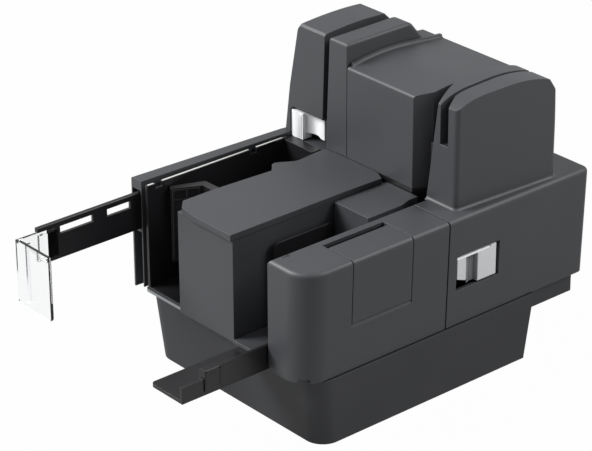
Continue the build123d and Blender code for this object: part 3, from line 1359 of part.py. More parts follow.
def feed_block_prism(inset, height, mode=Mode.ADD):
    """Prism on the plan of the block behind the hopper, set in by a wall thickness."""
    step = core_right + 0.5 + inset
    plan_prism([(feed_block_left - inset, feed_block_front + inset),
                (feed_block_right + inset, feed_block_front + inset),
                (feed_block_right + inset, feed_block_step[0]), (step, feed_block_step[1]),
                (step, feed_block_rear - inset), (feed_block_left - inset, feed_block_rear - inset)],
               height, mode)


with BuildPart() as feed_block:
    feed_block_prism(0, (hopper_floor_bottom, feed_block_height))
    feed_block_prism(thin_wall, (0, feed_block_height - thin_wall), Mode.SUBTRACT)
    window_half = (retard_radius ** 2 - (retard_place[0] - feed_block_right - thin_wall) ** 2) ** 0.5 + 1.0
    box((feed_block_right - 1, feed_block_right + thin_wall + 1),
        (retard_place[1] - window_half, retard_place[1] + window_half),
        (feed_roller_bottom - 2, feed_roller_top + 2), Mode.SUBTRACT)
    post(retard_place, 2 * retard_pin_radius, (feed_roller_top + slip, feed_block_height - thin_wall))
    post(retard_place, retard_pin_radius, (floor_z, feed_block_height - thin_wall))
save(feed_block, "feed_block")

with BuildPart() as hopper_extension:
    box((extension_right, extension_left), (-tray_out, extension_inside), (frame_bottom, floor_z))
    box((extension_right, extension_right + extension_lip), (-tray_out, extension_inside),
        (frame_bottom, extension_lip_low))
    box((extension_right, extension_right + extension_lip), (extension_step, extension_inside),
        (frame_bottom, extension_lip_high))
    fillet(hopper_extension.edges().filter_by(Axis.Z).group_by(Axis.Y)[0].sort_by(Axis.X)[0],
           extension_corner)
save(hopper_extension, "hopper_extension")

with BuildPart() as rail_clip:
    box((extension_right - clip_slack - clip_skin, clip_left), (extension_step - clip_length, extension_step),
        (floor_z + slip, clip_top))
    fillet(rail_clip.edges().filter_by(Axis.Y).group_by(Axis.Z)[-1], clip_skin)
    box((extension_right - clip_slack, clip_left - clip_wall), (-stopper_reach, extension_step + 1),
        (0, extension_lip_low + slip), Mode.SUBTRACT)
save(rail_clip, "rail_clip")

with BuildPart() as pusher_plate:
    box((pusher_left - pusher_thickness, pusher_left), (pusher_front, pusher_rear),
        (pusher_bottom, pusher_top))
    fillet(pusher_plate.edges().filter_by(Axis.X), pusher_corner)
    with BuildSketch(Plane.YZ.offset(from_right(pusher_rod_end))) as stem:
        with Locations((from_front(pusher_rod[0]), pusher_rod[1])):
            Circle(pusher_rod_radius)
    extrude(stem.sketch, amount=pusher_rod_end - pusher_left + 0.5)
save(pusher_plate, "pusher_plate")
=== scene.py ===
"""Looks of the desktop cheque scanner: finishes for every CAD node, moulded-in details, pieces that paint a
highlight or shade, and the studio.
"""

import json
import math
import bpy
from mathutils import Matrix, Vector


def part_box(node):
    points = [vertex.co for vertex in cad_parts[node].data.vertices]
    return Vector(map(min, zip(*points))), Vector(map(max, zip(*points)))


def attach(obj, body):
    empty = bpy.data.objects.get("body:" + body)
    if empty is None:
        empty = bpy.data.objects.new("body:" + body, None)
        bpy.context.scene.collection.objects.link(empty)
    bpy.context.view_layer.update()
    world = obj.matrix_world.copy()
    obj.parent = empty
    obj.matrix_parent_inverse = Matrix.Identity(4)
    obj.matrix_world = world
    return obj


bl_info = {
    "name": "Cheque scanner looks",
    "version": (1, 0, 0),
    "blender": (4, 5, 0),
    "location": "3D View > Sidebar > Scanner",
    "description": "Finishes and small moulded details of a desktop cheque scanner, and its studio",
    "category": "Object",
}

import bpy
from bpy.props import FloatProperty, FloatVectorProperty, PointerProperty
from mathutils import Matrix, Vector

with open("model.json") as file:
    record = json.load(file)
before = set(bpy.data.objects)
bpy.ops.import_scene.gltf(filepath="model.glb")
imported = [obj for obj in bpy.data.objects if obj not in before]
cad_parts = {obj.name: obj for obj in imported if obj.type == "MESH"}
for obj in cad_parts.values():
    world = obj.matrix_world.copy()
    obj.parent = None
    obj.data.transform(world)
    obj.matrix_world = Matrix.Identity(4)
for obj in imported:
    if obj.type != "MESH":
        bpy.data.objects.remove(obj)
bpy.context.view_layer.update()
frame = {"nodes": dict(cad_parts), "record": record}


MM = 0.001
RIGHT_FACE, FRONT_FACE = 82.3, -71.0    # x and y of the faces that places are measured from, in millimetres
SEEN_AS_ROUND = math.radians(35)        # faces that meet at less than this are shaded as one surface


def linear(red, green, blue):
    """Linear colour of a display colour given in 0 to 255."""
    def level(value):
        value /= 255
        return value / 12.92 if value <= 0.04045 else ((value + 0.055) / 1.055) ** 2.4
    return (level(red), level(green), level(blue))


def spot(across, back, height):
    """Place measured inwards from the right face and back from the front face, both in millimetres."""
    return Vector(((RIGHT_FACE - across) * MM, (FRONT_FACE + back) * MM, height * MM))


# --- settings ------------------------------------------------------------------------------------------
def colour(name, description, red, green, blue):
    """A colour setting."""
    return FloatVectorProperty(name=name, description=description, subtype="COLOR", size=3, min=0, max=1,
                               default=linear(red, green, blue))


def length(name, description, millimetres):
    """A length setting."""
    return FloatProperty(name=name, description=description, subtype="DISTANCE", unit="LENGTH", min=0,
                         precision=5, default=millimetres * MM)


class ScannerPlastics(bpy.types.PropertyGroup):
    """Colours and textures of the moulded parts."""
    case: colour("Case", "Spark-textured covers, doors and deck", 59, 60, 63)
    base: colour("Base", "Spark-textured plinth and tray", 37, 38, 41)
    inner: colour("Inner parts", "Smooth black guides, liner and extensions", 25, 25, 27)
    latch: colour("Latches", "Pale latches that the operator pushes", 242, 243, 244)
    # painted shade: grey that stands in for the shade in the white latch's finger scoop
    painted_shade_lining: colour("Latch grips", "Grey grip in the right latch's finger scoop", 138, 139, 141)
    cartridge: colour("Print cartridge", "Body of the print cartridge", 36, 36, 40)
    # real colour of the pinch rollers; on the liner strip this pale colour is a painted highlight of the
    # black liner's top edge
    acetal_and_highlight: colour("Pinch rollers", "Natural acetal of the pinch rollers and the liner strip", 198, 198, 193)
    grain: length("Grain", "Size of one grain of the covers' texture", 0.42)
    grain_depth: length("Grain depth", "Depth of the covers' texture", 0.022)
    edge: length("Edge radius", "Radius that moulded edges are shaded with", 0.55)


class ScannerHardware(bpy.types.PropertyGroup):
    """Colours of the rubber, metal and electrical parts."""
    roller: colour("Rollers", "Ground rubber of the driven rollers", 62, 62, 64)
    belt: colour("Belts", "Moulded drive belts", 28, 28, 29)
    foot: colour("Feet", "Soft feet", 30, 30, 31)
    steel: colour("Plated steel", "Shafts, pins, screws and read heads", 196, 197, 200)
    frame: colour("Frame steel", "Zinc-plated frame plate", 170, 174, 178)
    motor: colour("Motor cans", "Plated cans of the motors", 118, 119, 122)
    brass: colour("Bushes", "Sintered bronze bushes", 178, 140, 84)
    board: colour("Board", "Solder mask of the main board", 24, 84, 44)
    glass: colour("Sensor glass", "Dark glass of the line cameras", 14, 17, 22)


class ScannerTrim(bpy.types.PropertyGroup):
    """Sizes of the moulded-in details and of the pieces that paint a highlight or shade."""
    rib: length("Rib width", "Width of one rib or ridge", 0.7)
    proud: length("Rib height", "Height of a rib above the face it stands on", 0.45)
    # thickness of the grey lining that paints the shade in the latch's scoop
    painted_shade_lining: length("Grip thickness", "Thickness of the grip that lines the right latch's scoop", 0.24)
    # the liner strip is a pale piece that paints the highlight along the black liner's top edge
    strip: length("Liner strip", "Width of the painted_highlight strip on the pocket liner", 1.4)
    arrow: length("Arrow length", "Length of the arrow that shows which way cheques are fed", 4.2)
    cross: length("Screw recess", "Width of the cross in a case screw's head", 3.4)


class ScannerStudio(bpy.types.PropertyGroup):
    """Camera, lamps and floor."""
    camera_place: FloatVectorProperty(name="Camera", description="Place of the camera", subtype="TRANSLATION",
                                      unit="LENGTH", size=3, default=(1.04669, -0.9034, 0.76992))
    lens: FloatProperty(name="Lens", description="Focal length in millimetres on a 36 mm sensor", min=1,
                        default=160.6)
    key: FloatProperty(name="Key lamp", description="Power of the large lamp ahead of the left side",
                       subtype="POWER", unit="POWER", min=0, default=35.0)
    fill: FloatProperty(name="Fill lamp", description="Power of the lamp on the right", subtype="POWER",
                        unit="POWER", min=0, default=2.9)
    sky: FloatProperty(name="Room light", description="Strength of the even light from all sides", min=0,
                       default=0.22)
    floor: colour("Floor", "Pale floor under the scanner", 140, 140, 140)


# --- node helpers --------------------------------------------------------------------------------------
class Recipe:
    """Builds one material's nodes."""
    MIX_COLOURS, MIX_RESULT = (6, 7), 2    # sockets of a Mix node that hold colours

    def __init__(self, name):
        self.material = bpy.data.materials.new(name)
        self.material.use_nodes = True
        self.tree = self.material.node_tree
        self.shader = next(node for node in self.tree.nodes if node.type == "BSDF_PRINCIPLED")
        self.place = self.add("ShaderNodeTexCoord").outputs["Object"]

    def add(self, kind, **values):
        """A node with its options and plain input values set."""
        node = self.tree.nodes.new(kind)
        for key, value in values.items():
            if hasattr(node, key):
                setattr(node, key, value)
            else:
                node.inputs[key.replace("_", " ")].default_value = value
        return node

    def link(self, start, end):
        """Joins an output to an input."""
        self.tree.links.new(start, end)

    def set(self, **values):
        """Plain values on the shader's own sockets."""
        for key, value in values.items():
            self.shader.inputs[key.replace("_", " ")].default_value = value

    def noise(self, size, detail=2.0, stretch=None):
        """Noise whose features are about a size across, in metres."""
        place = self.place
        if stretch:
            mapping = self.add("ShaderNodeMapping")
            mapping.inputs["Scale"].default_value = stretch
            self.link(place, mapping.inputs["Vector"])
            place = mapping.outputs["Vector"]
        node = self.add("ShaderNodeTexNoise", Scale=1 / size, Detail=detail)
        self.link(place, node.inputs["Vector"])
        return node.outputs["Fac"]

    def spread(self, value, low, high, start=0.3, end=0.7):
        """A value spread between a low and a high level."""
        node = self.add("ShaderNodeMapRange")
        node.inputs["From Min"].default_value = start
        node.inputs["From Max"].default_value = end
        node.inputs["To Min"].default_value = low
        node.inputs["To Max"].default_value = high
        self.link(value, node.inputs["Value"])
        return node.outputs["Result"]

    def mix(self, share, first, second):
        """Two colours mixed by a share; each is a socket or plain colour."""
        node = self.add("ShaderNodeMix", data_type="RGBA")
        self.link(share, node.inputs["Factor"])
        for number, value in zip(self.MIX_COLOURS, (first, second)):
            socket = node.inputs[number]
            if isinstance(value, bpy.types.NodeSocket):
                self.link(value, socket)
            else:
                socket.default_value = (*value, 1)
        return node.outputs[self.MIX_RESULT]

    def math(self, operation, first, second):
        """One sum on two sockets or numbers."""
        node = self.add("ShaderNodeMath", operation=operation, use_clamp=True)
        for socket, value in zip(node.inputs, (first, second)):
            if isinstance(value, bpy.types.NodeSocket):
                self.link(value, socket)
            else:
                socket.default_value = value
        return node.outputs["Value"]

    def rounded(self, radius):
        """(normal shaded as if edges had a radius, how much of an edge is here, which masks the painted edge
        highlight).
        """
        bevel = self.add("ShaderNodeBevel", samples=6, Radius=radius)
        dot = self.add("ShaderNodeVectorMath", operation="DOT_PRODUCT")
        self.link(bevel.outputs["Normal"], dot.inputs[0])
        self.link(self.add("ShaderNodeNewGeometry").outputs["Normal"], dot.inputs[1])
        leaning, level = 0.80, 0.995
        share = self.spread(dot.outputs["Value"], low=1.0, high=0.0, start=leaning, end=level)
        return bevel.outputs["Normal"], share

    def bump(self, height, depth, normal=None):
        """Bump of a depth in metres, over a normal."""
        node = self.add("ShaderNodeBump", Strength=1.0, Distance=depth)
        self.link(height, node.inputs["Height"])
        if normal is not None:
            self.link(normal, node.inputs["Normal"])
        self.link(node.outputs["Normal"], self.shader.inputs["Normal"])


def shifted(base, factor):
    """A colour made lighter or darker by a factor."""
    return tuple(min(1.0, level * factor) for level in base)


def moulded(name, base, rough, grain, depth, edge, painted_edge_highlight=1.5, specular=0.6, mottle=0.06):
    """Moulded plastic: fine texture, faint mottling and a painted highlight that lightens the colour along
    edges.
    """
    cloud_size, rough_range = 0.035, 0.05
    speckle_share, speckle_light, edge_highlight_share = 0.22, 1.28, 0.55
    recipe = Recipe(name)
    normal, edge_highlight_mask = recipe.rounded(edge)
    cloudy = recipe.noise(cloud_size, detail=3.0)
    fine = recipe.noise(grain)
    tone = recipe.mix(cloudy, shifted(base, 1 - mottle), shifted(base, 1 + mottle))
    speckle = recipe.mix(recipe.spread(fine, 0.0, speckle_share), tone, shifted(base, speckle_light))
    # painted highlight: the colour is lightened along edges by the bevel mask
    recipe.link(recipe.mix(recipe.math("MULTIPLY", edge_highlight_mask, edge_highlight_share), speckle, shifted(base, painted_edge_highlight)),
                recipe.shader.inputs["Base Color"])
    recipe.link(recipe.spread(cloudy, rough - rough_range, rough + rough_range),
                recipe.shader.inputs["Roughness"])
    recipe.set(Specular_IOR_Level=specular)
    recipe.bump(fine, depth, normal)
    return recipe.material


def rubber(name, base, pitch):
    """Ground rubber: dull, dusty, with fine turning marks along the height."""
    dust_size, dust_share, dust_light = 0.006, 0.5, 1.5
    clean_rough, dusty_rough, mark_depth = 0.72, 0.9, 0.00012
    round_the_roller = (0.15, 0.15, 1.0)
    recipe = Recipe(name)
    dust = recipe.noise(dust_size, detail=4.0)
    marks = recipe.noise(pitch, detail=1.0, stretch=round_the_roller)
    recipe.link(recipe.mix(recipe.spread(dust, 0.0, dust_share), base, shifted(base, dust_light)),
                recipe.shader.inputs["Base Color"])
    recipe.link(recipe.spread(dust, clean_rough, dusty_rough), recipe.shader.inputs["Roughness"])
    recipe.set(Specular_IOR_Level=0.3)
    recipe.bump(marks, mark_depth)
    return recipe.material


def metal(name, base, rough, stretch, streak):
    """Plated or drawn metal with faint streaks."""
    stain_size, stain_share, stain_dark = 0.02, 0.45, 0.8
    smoother, rougher, streak_depth = 0.07, 0.09, 0.00002
    recipe = Recipe(name)
    streaks = recipe.noise(streak, detail=3.0, stretch=stretch)
    stain = recipe.noise(stain_size, detail=3.0)
    recipe.link(recipe.mix(recipe.spread(stain, 0.0, stain_share), base, shifted(base, stain_dark)),
                recipe.shader.inputs["Base Color"])
    recipe.link(recipe.spread(streaks, rough - smoother, rough + rougher), recipe.shader.inputs["Roughness"])
    recipe.set(Metallic=1.0)
    recipe.bump(streaks, streak_depth)
    return recipe.material


def circuit_board(base, copper_height):
    """Solder mask with traces, and dark packages and bright cans by their height above the board."""
    dark_above, bright_above, blend = 0.05 * MM, 9.1 * MM, 0.1 * MM
    trace_pitch, trace_width, mask_depth = 0.012, 0.012, 0.00003
    package, can = linear(30, 30, 32), linear(176, 178, 182)
    recipe = Recipe("board_finish")
    height = recipe.add("ShaderNodeSeparateXYZ")
    recipe.link(recipe.place, height.inputs[0])
    above, tall = (recipe.spread(height.outputs["Z"], 0.0, 1.0, start=level, end=level + blend)
                   for level in (copper_height + dark_above, copper_height + bright_above))
    traces = recipe.add("ShaderNodeTexBrick", Scale=1 / trace_pitch)
    recipe.link(recipe.place, traces.inputs["Vector"])
    for key, tint in (("Color1", base), ("Color2", shifted(base, 0.86)), ("Mortar", shifted(base, 1.5))):
        traces.inputs[key].default_value = (*tint, 1)
    traces.inputs["Mortar Size"].default_value = trace_width
    mask = recipe.mix(above, traces.outputs["Color"], package)
    recipe.link(recipe.mix(tall, mask, can), recipe.shader.inputs["Base Color"])
    recipe.link(recipe.spread(above, 0.35, 0.6, start=0.0, end=1.0), recipe.shader.inputs["Roughness"])
    recipe.bump(recipe.noise(0.002), mask_depth)
    return recipe.material


def sensor_glass(base, edge):
    """Dark glass of a line camera, very smooth, with faint handling haze and a painted highlight along its
    edges.
    """
    haze_size, haze_depth, painted_edge_highlight = 0.01, 0.000005, 2.2
    recipe = Recipe("sensor_glass_finish")
    normal, edge_highlight_mask = recipe.rounded(edge)
    haze = recipe.noise(haze_size, detail=4.0)
    # painted highlight: the glass colour is lightened along its edges
    recipe.link(recipe.mix(edge_highlight_mask, base, shifted(base, painted_edge_highlight)), recipe.shader.inputs["Base Color"])
    recipe.link(recipe.spread(haze, 0.05, 0.16), recipe.shader.inputs["Roughness"])
    recipe.set(Coat_Weight=0.5)
    recipe.bump(haze, haze_depth, normal)
    return recipe.material


def clear_plastic():
    """Clear polycarbonate with soft handling marks."""
    haze_size, haze_depth = 0.012, 0.000004
    recipe = Recipe("clear_plastic_finish")
    haze = recipe.noise(haze_size, detail=4.0)
    recipe.link(recipe.spread(haze, 0.02, 0.09), recipe.shader.inputs["Roughness"])
    recipe.set(Base_Color=(0.965, 0.975, 0.98, 1), Transmission_Weight=1.0, IOR=1.49)
    recipe.bump(haze, haze_depth)
    return recipe.material


# --- modelling helpers ---------------------------------------------------------------------------------
def clear_selection():
    """Nothing stays selected and nothing is being edited."""
    if bpy.context.view_layer.objects.active and bpy.context.mode != "OBJECT":
        bpy.ops.object.mode_set(mode="OBJECT")
    bpy.ops.object.select_all(action="DESELECT")


def block(name, low, high, round_by):
    """Bevelled block between two corners, started from a cube."""
    clear_selection()
    bpy.ops.mesh.primitive_cube_add(size=1, location=(low + high) / 2)
    piece = bpy.context.object
    piece.name = name
    bpy.ops.transform.resize(value=high - low)
    bpy.ops.object.transform_apply(location=True, rotation=True, scale=True)
    bpy.ops.object.mode_set(mode="EDIT")
    bpy.ops.mesh.select_all(action="SELECT")
    bpy.ops.mesh.bevel(offset=round_by, segments=2, affect="EDGES")
    bpy.ops.object.mode_set(mode="OBJECT")
    return piece


def between(name, across, back, heights, round_by=0.15):
    """Bevelled block between ranges across, back and up, in millimetres."""
    return block(name, spot(across[1], back[0], heights[0]), spot(across[0], back[1], heights[1]),
                 round_by * MM)


def upright(name, start, end, thick, heights):
    """Bevelled slab that stands between two places in plan, in millimetres."""
    round_by = 0.08
    first, last = spot(*start, heights[0]), spot(*end, heights[1])
    reach = Vector((last.x - first.x, last.y - first.y, 0))
    half = Vector((reach.length, thick * MM, last.z - first.z)) / 2
    piece = block(name, -half, half, round_by * MM)
    piece.rotation_euler.z = math.atan2(reach.y, reach.x)
    piece.location = (first + last) / 2
    return piece


def repeated(piece, moves):
    """A piece and its copies, each with its own mesh and moved from the first, in millimetres."""
    pieces = [piece]
    for move in moves:
        clear_selection()
        piece.select_set(True)
        bpy.context.view_layer.objects.active = piece
        bpy.ops.object.duplicate(linked=False)
        bpy.ops.transform.translate(value=Vector(move) * MM)
        pieces.append(bpy.context.object)
    return pieces


def joined(name, pieces):
    """Several pieces made one."""
    clear_selection()
    for piece in pieces:
        piece.select_set(True)
    bpy.context.view_layer.objects.active = pieces[0]
    bpy.ops.object.join()
    pieces[0].name = name
    return pieces[0]


def settle(piece, material, body):
    """Sets a piece's place in its mesh, smooths it, and gives it its finish and its body."""
    same_place = 0.002 * MM
    clear_selection()
    piece.select_set(True)
    bpy.context.view_layer.objects.active = piece
    bpy.ops.object.transform_apply(location=True, rotation=True, scale=True)
    bpy.ops.object.mode_set(mode="EDIT")
    bpy.ops.mesh.select_all(action="SELECT")
    bpy.ops.mesh.remove_doubles(threshold=same_place)
    bpy.ops.mesh.normals_make_consistent(inside=False)
    bpy.ops.object.mode_set(mode="OBJECT")
    bpy.ops.object.shade_smooth_by_angle(angle=SEEN_AS_ROUND)
    piece.data.materials.clear()
    piece.data.materials.append(material)
    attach(piece, body)
    clear_selection()


# --- finishes ------------------------------------------------------------------------------------------
class SCANNER_OT_finishes(bpy.types.Operator):
    """Gives every CAD node the finish of its material slot"""
    bl_idname = "scanner.finishes"
    bl_label = "Finishes"

    def execute(self, context):
        plastics, hardware = context.scene.scanner_plastics, context.scene.scanner_hardware
        finishes = {**self.plastic_finishes(plastics), **self.metal_finishes(hardware)}
        finishes.update({
            "roller_rubber": rubber("roller_finish", hardware.roller, pitch=0.5 * MM),
            "belt_rubber": rubber("belt_finish", hardware.belt, pitch=0.8 * MM),
            "foot_rubber": rubber("foot_finish", hardware.foot, pitch=0.6 * MM),
            "sensor_glass": sensor_glass(hardware.glass, plastics.edge),
        })
        for part in frame["record"]["subparts"]:
            materials = frame["nodes"][part["node"]].data.materials
            materials.clear()
            materials.append(finishes[part["material_slot"]])
        return {"FINISHED"}

    def plastic_finishes(self, plastics):
        """Finishes of the moulded plastics, by slot."""
        fine_edge = plastics.edge * 0.7
        texture = {"grain": plastics.grain, "depth": plastics.grain_depth, "edge": plastics.edge}
        # the edge strengths below set how much lighter the painted highlight along edges is
        return {
            "case_plastic": moulded("case_finish", plastics.case, rough=0.52, **texture),
            "base_plastic": moulded("base_finish", plastics.base, rough=0.56, **texture),
            "inner_plastic": moulded("inner_finish", plastics.inner, rough=0.36, grain=1.1 * MM,
                                     depth=0.006 * MM, edge=fine_edge, painted_edge_highlight=2.4, specular=0.5),
            "latch_plastic": moulded("latch_finish", plastics.latch, rough=0.32, grain=1.6 * MM,
                                     depth=0.004 * MM, edge=fine_edge, painted_edge_highlight=1.06, specular=0.5,
                                     mottle=0.015),
            "cartridge_plastic": moulded("cartridge_finish", plastics.cartridge, rough=0.42, grain=0.9 * MM,
                                         depth=0.012 * MM, edge=plastics.edge, painted_edge_highlight=1.8),
            "pinch_plastic": moulded("acetal_and_highlight_finish", plastics.acetal_and_highlight, rough=0.3, grain=2 * MM,
                                     depth=0.004 * MM, edge=0.3 * MM, painted_edge_highlight=1.05, specular=0.5,
                                     mottle=0.02),
            "clear_plastic": clear_plastic(),
        }

    def metal_finishes(self, hardware):
        """Finishes of the metal parts and the main board, by slot."""
        board_thick = 1.6 * MM
        board_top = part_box("main_board")[0][2] + board_thick
        return {
            "plated_steel": metal("plated_steel_finish", hardware.steel, rough=0.24,
                                  stretch=(1.0, 1.0, 0.05), streak=0.4 * MM),
            "frame_steel": metal("frame_steel_finish", hardware.frame, rough=0.42,
                                 stretch=(0.05, 1.0, 1.0), streak=0.6 * MM),
            "motor_steel": metal("motor_finish", hardware.motor, rough=0.38,
                                 stretch=(1.0, 1.0, 0.06), streak=0.8 * MM),
            "bush_brass": metal("bush_finish", hardware.brass, rough=0.4,
                                stretch=(1.0, 1.0, 1.0), streak=0.3 * MM),
            "circuit_board": circuit_board(hardware.board, board_top),
        }


# --- moulded details, and pieces that paint a highlight or shade ---------------------------------------
class SCANNER_OT_latch_painted_shade_lining(bpy.types.Operator):
    """Lines the finger scoop of the right latch with ribs and a grey lining whose colour is painted shade"""
    bl_idname = "scanner.latch_grip"
    bl_label = "Latch grip"

    def execute(self, context):
        plastics, trim = context.scene.scanner_plastics, context.scene.scanner_trim
        thick, rib, proud = (value / MM for value in (trim.painted_shade_lining, trim.rib, trim.proud))
        heights = (66.3, 83.8)
        # places in plan where each flat of the scoop starts and ends, going back
        facets = (((2.80, 124.55), (4.08, 127.35)), ((4.12, 127.3), (4.12, 131.3)),
                  ((4.05, 131.35), (1.60, 132.2)))
        rib_face, rib_back, rib_moves = 3.4, 125.9, ((-0.7, 2.4, 0), (-0.7, 4.1, 0))
        slant_start, slant_normal = spot(0, 116.0, 72.0), (0, 6.0, 16.4)
        pieces = [upright("facet", start, end, thick, heights) for start, end in facets]
        first_rib = between("rib", (rib_face - proud, rib_face), (rib_back - rib / 2, rib_back + rib / 2),
                            heights)
        pieces += repeated(first_rib, rib_moves)
        painted_shade_lining = joined("latch_grip", pieces)
        bpy.ops.object.transform_apply(location=True, rotation=True, scale=True)
        bpy.ops.object.mode_set(mode="EDIT")
        bpy.ops.mesh.select_all(action="SELECT")
        bpy.ops.mesh.bisect(plane_co=slant_start, plane_no=slant_normal, use_fill=True, clear_inner=True)
        bpy.ops.object.mode_set(mode="OBJECT")
        # painted shade: the lining's grey stands in for the shade in the scoop of the white latch
        settle(painted_shade_lining, moulded("painted_shade_lining_finish", plastics.painted_shade_lining, rough=0.5, grain=1.6 * MM, depth=0.006 * MM,
                             edge=plastics.edge * 0.4, painted_edge_highlight=1.1), "right_latch")
        return {"FINISHED"}


class SCANNER_OT_lever_ridges(bpy.types.Operator):
    """Sets upright ridges on the thumb pad of the left lever"""
    bl_idname = "scanner.lever_ridges"
    bl_label = "Lever ridges"

    def execute(self, context):
        trim = context.scene.scanner_trim
        rib, proud = trim.rib / MM, trim.proud * 0.8 / MM
        ridges, pitch, start = 7, 1.3, 142.4    # the first ridge is the one farthest right
        pad_face, root, heights = 119.6, 120.2, (112.6, 127.6)
        first_ridge = between("ridge", (start, start + rib), (pad_face - proud, root), heights, round_by=0.18)
        pieces = repeated(first_ridge, [(-pitch * step, 0, 0) for step in range(1, ridges)])
        settle(joined("lever_ridges", pieces), bpy.data.materials["latch_finish"], "left_lever")
        return {"FINISHED"}


class SCANNER_OT_liner_highlight_strip(bpy.types.Operator):
    """Lays a pale strip along the top of the pocket liner, clear of its notches, as a painted highlight of
    the liner's top edge
    """
    bl_idname = "scanner.liner_strip"
    bl_label = "Liner strip"

    def execute(self, context):
        wide = context.scene.scanner_trim.strip / MM
        start, heights, runs = 149.7, (112.35, 112.6), ((8.0, 12.4), (18.6, 84.4), (90.6, 111.0))
        pieces = [between("strip", (start, start + wide), back, heights, round_by=0.06) for back in runs]
        # painted highlight: the pale finish stands in for the light that the black liner's top edge catches
        settle(joined("liner_strip", pieces), bpy.data.materials["acetal_and_highlight_finish"], "root")
        return {"FINISHED"}


class SCANNER_OT_flap_ribs(bpy.types.Operator):
    """Stiffens the face of the pocket flap with a raised frame and ribs"""
    bl_idname = "scanner.flap_ribs"
    bl_label = "Flap ribs"

    def execute(self, context):
        rib = context.scene.scanner_trim.rib / MM
        # the blade's face in plan, its hinge end first
        near, far = Vector((136.5, 38.5)), Vector((145.5, 21.0))
        first_share, last_share, middle_share, stand_off = 0.14, 0.92, 0.46, 0.25
        upright_thick, upright_heights = 1.0, (61.0, 107.2)
        level_thick, level_heights, level_rises = 0.9, (62.0, 62.3 + rib), (22.0, 38.0, 44.2)
        along = (far - near).normalized()
        out = Vector((along.y, -along.x)) * stand_off
        start, end = near.lerp(far, first_share) + out, near.lerp(far, last_share) + out
        first = upright("upright", start - along * rib, start + along * rib, upright_thick, upright_heights)
        level = upright("level", start, end, level_thick, level_heights)
        steps = ((end - start) * middle_share, end - start)
        pieces = repeated(first, [(-step.x, step.y, 0) for step in steps])
        pieces += repeated(level, [(0, 0, rise) for rise in level_rises])
        settle(joined("flap_ribs", pieces), bpy.data.materials["inner_finish"], "pocket_flap")
        return {"FINISHED"}


class SCANNER_OT_clip_frame(bpy.types.Operator):
    """Frames the outer face of the sliding rail clip and sets a snap tongue in it"""
    bl_idname = "scanner.clip_frame"
    bl_label = "Clip frame"

    def execute(self, context):
        trim = context.scene.scanner_trim
        low, high = (Vector(corner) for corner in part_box("rail_clip"))
        within_clearance = 0.27
        face, proud, wide = high.x, trim.proud * within_clearance, trim.rib * 1.3
        inset, top_inset, foot_inset = 0.3 * MM, 0.4 * MM, 1.0 * MM
        top, foot = high.z - top_inset, low.z + foot_inset
        middle = (low.y + high.y) / 2

        def bar(start, end, bottom, upper):
            """One bar of the frame, between places back and heights in metres."""
            return block("frame", Vector((face - wide, start, bottom)), Vector((face + proud, end, upper)),
                         proud / 2)

        pieces = repeated(bar(low.y + inset, low.y + inset + wide, foot, top),
                          [(0, (high.y - low.y - 2 * inset - wide) / MM, 0)])
        pieces.append(bar(low.y + inset, high.y - inset, top - wide, top))
        pieces.append(bar(middle - 1.5 * wide, middle + 1.5 * wide, top - 4.5 * wide, top - 2 * wide))
        settle(joined("clip_frame", pieces), bpy.data.materials["inner_finish"], "rail_clip")
        return {"FINISHED"}


class SCANNER_OT_feed_arrow(bpy.types.Operator):
    """Raises a small arrow on the feeder cover beside the hopper"""
    bl_idname = "scanner.feed_arrow"
    bl_label = "Feed arrow"

    def execute(self, context):
        long = context.scene.scanner_trim.arrow
        middle, thick = spot(29.2, 12.0, 111.42), 0.16 * MM
        head_radius, shaft_half, head_edge, shaft_edge = long * 0.42, long * 0.13, 0.05 * MM, 0.04 * MM
        clear_selection()
        bpy.ops.mesh.primitive_cylinder_add(vertices=3, radius=head_radius, depth=thick, location=middle)
        head = bpy.context.object
        bpy.ops.object.mode_set(mode="EDIT")
        bpy.ops.mesh.select_all(action="SELECT")
        bpy.ops.mesh.bevel(offset=head_edge, segments=1, affect="EDGES")
        bpy.ops.object.mode_set(mode="OBJECT")
        half = Vector((shaft_half, long / 2, thick / 2))
        start = middle - Vector((0, long / 2, 0))
        shaft = block("shaft", start - half, start + half, shaft_edge)
        settle(joined("feed_arrow", [head, shaft]), bpy.data.materials["inner_finish"], "root")
        return {"FINISHED"}


class SCANNER_OT_screw_crosses(bpy.types.Operator):
    """Marks the cross recess in the head of each case screw with a thin dark cross, which is painted shade in
    place of a cut recess
    """
    bl_idname = "scanner.screw_crosses"
    bl_label = "Screw crosses"

    def execute(self, context):
        wide = context.scene.scanner_trim.cross
        low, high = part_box("case_screws")
        head_radius, thin, deep, arm_edge = 3.0 * MM, 0.7 * MM, 0.06 * MM, 0.03 * MM
        middle = Vector((low[0] + head_radius, low[1] + head_radius, low[2]))
        arms = [block("arm", middle - half, middle + half, arm_edge)
                for half in (Vector((wide / 2, thin / 2, deep)), Vector((thin / 2, wide / 2, deep)))]
        right, back = ((high[axis] - low[axis] - 2 * head_radius) / MM for axis in (0, 1))
        pieces = repeated(joined("cross", arms), ((right, 0, 0), (0, back, 0), (right, back, 0)))
        # painted shade: the dark cross stands in for the shade inside each recess
        settle(joined("screw_crosses", pieces), bpy.data.materials["inner_finish"], "root")
        return {"FINISHED"}


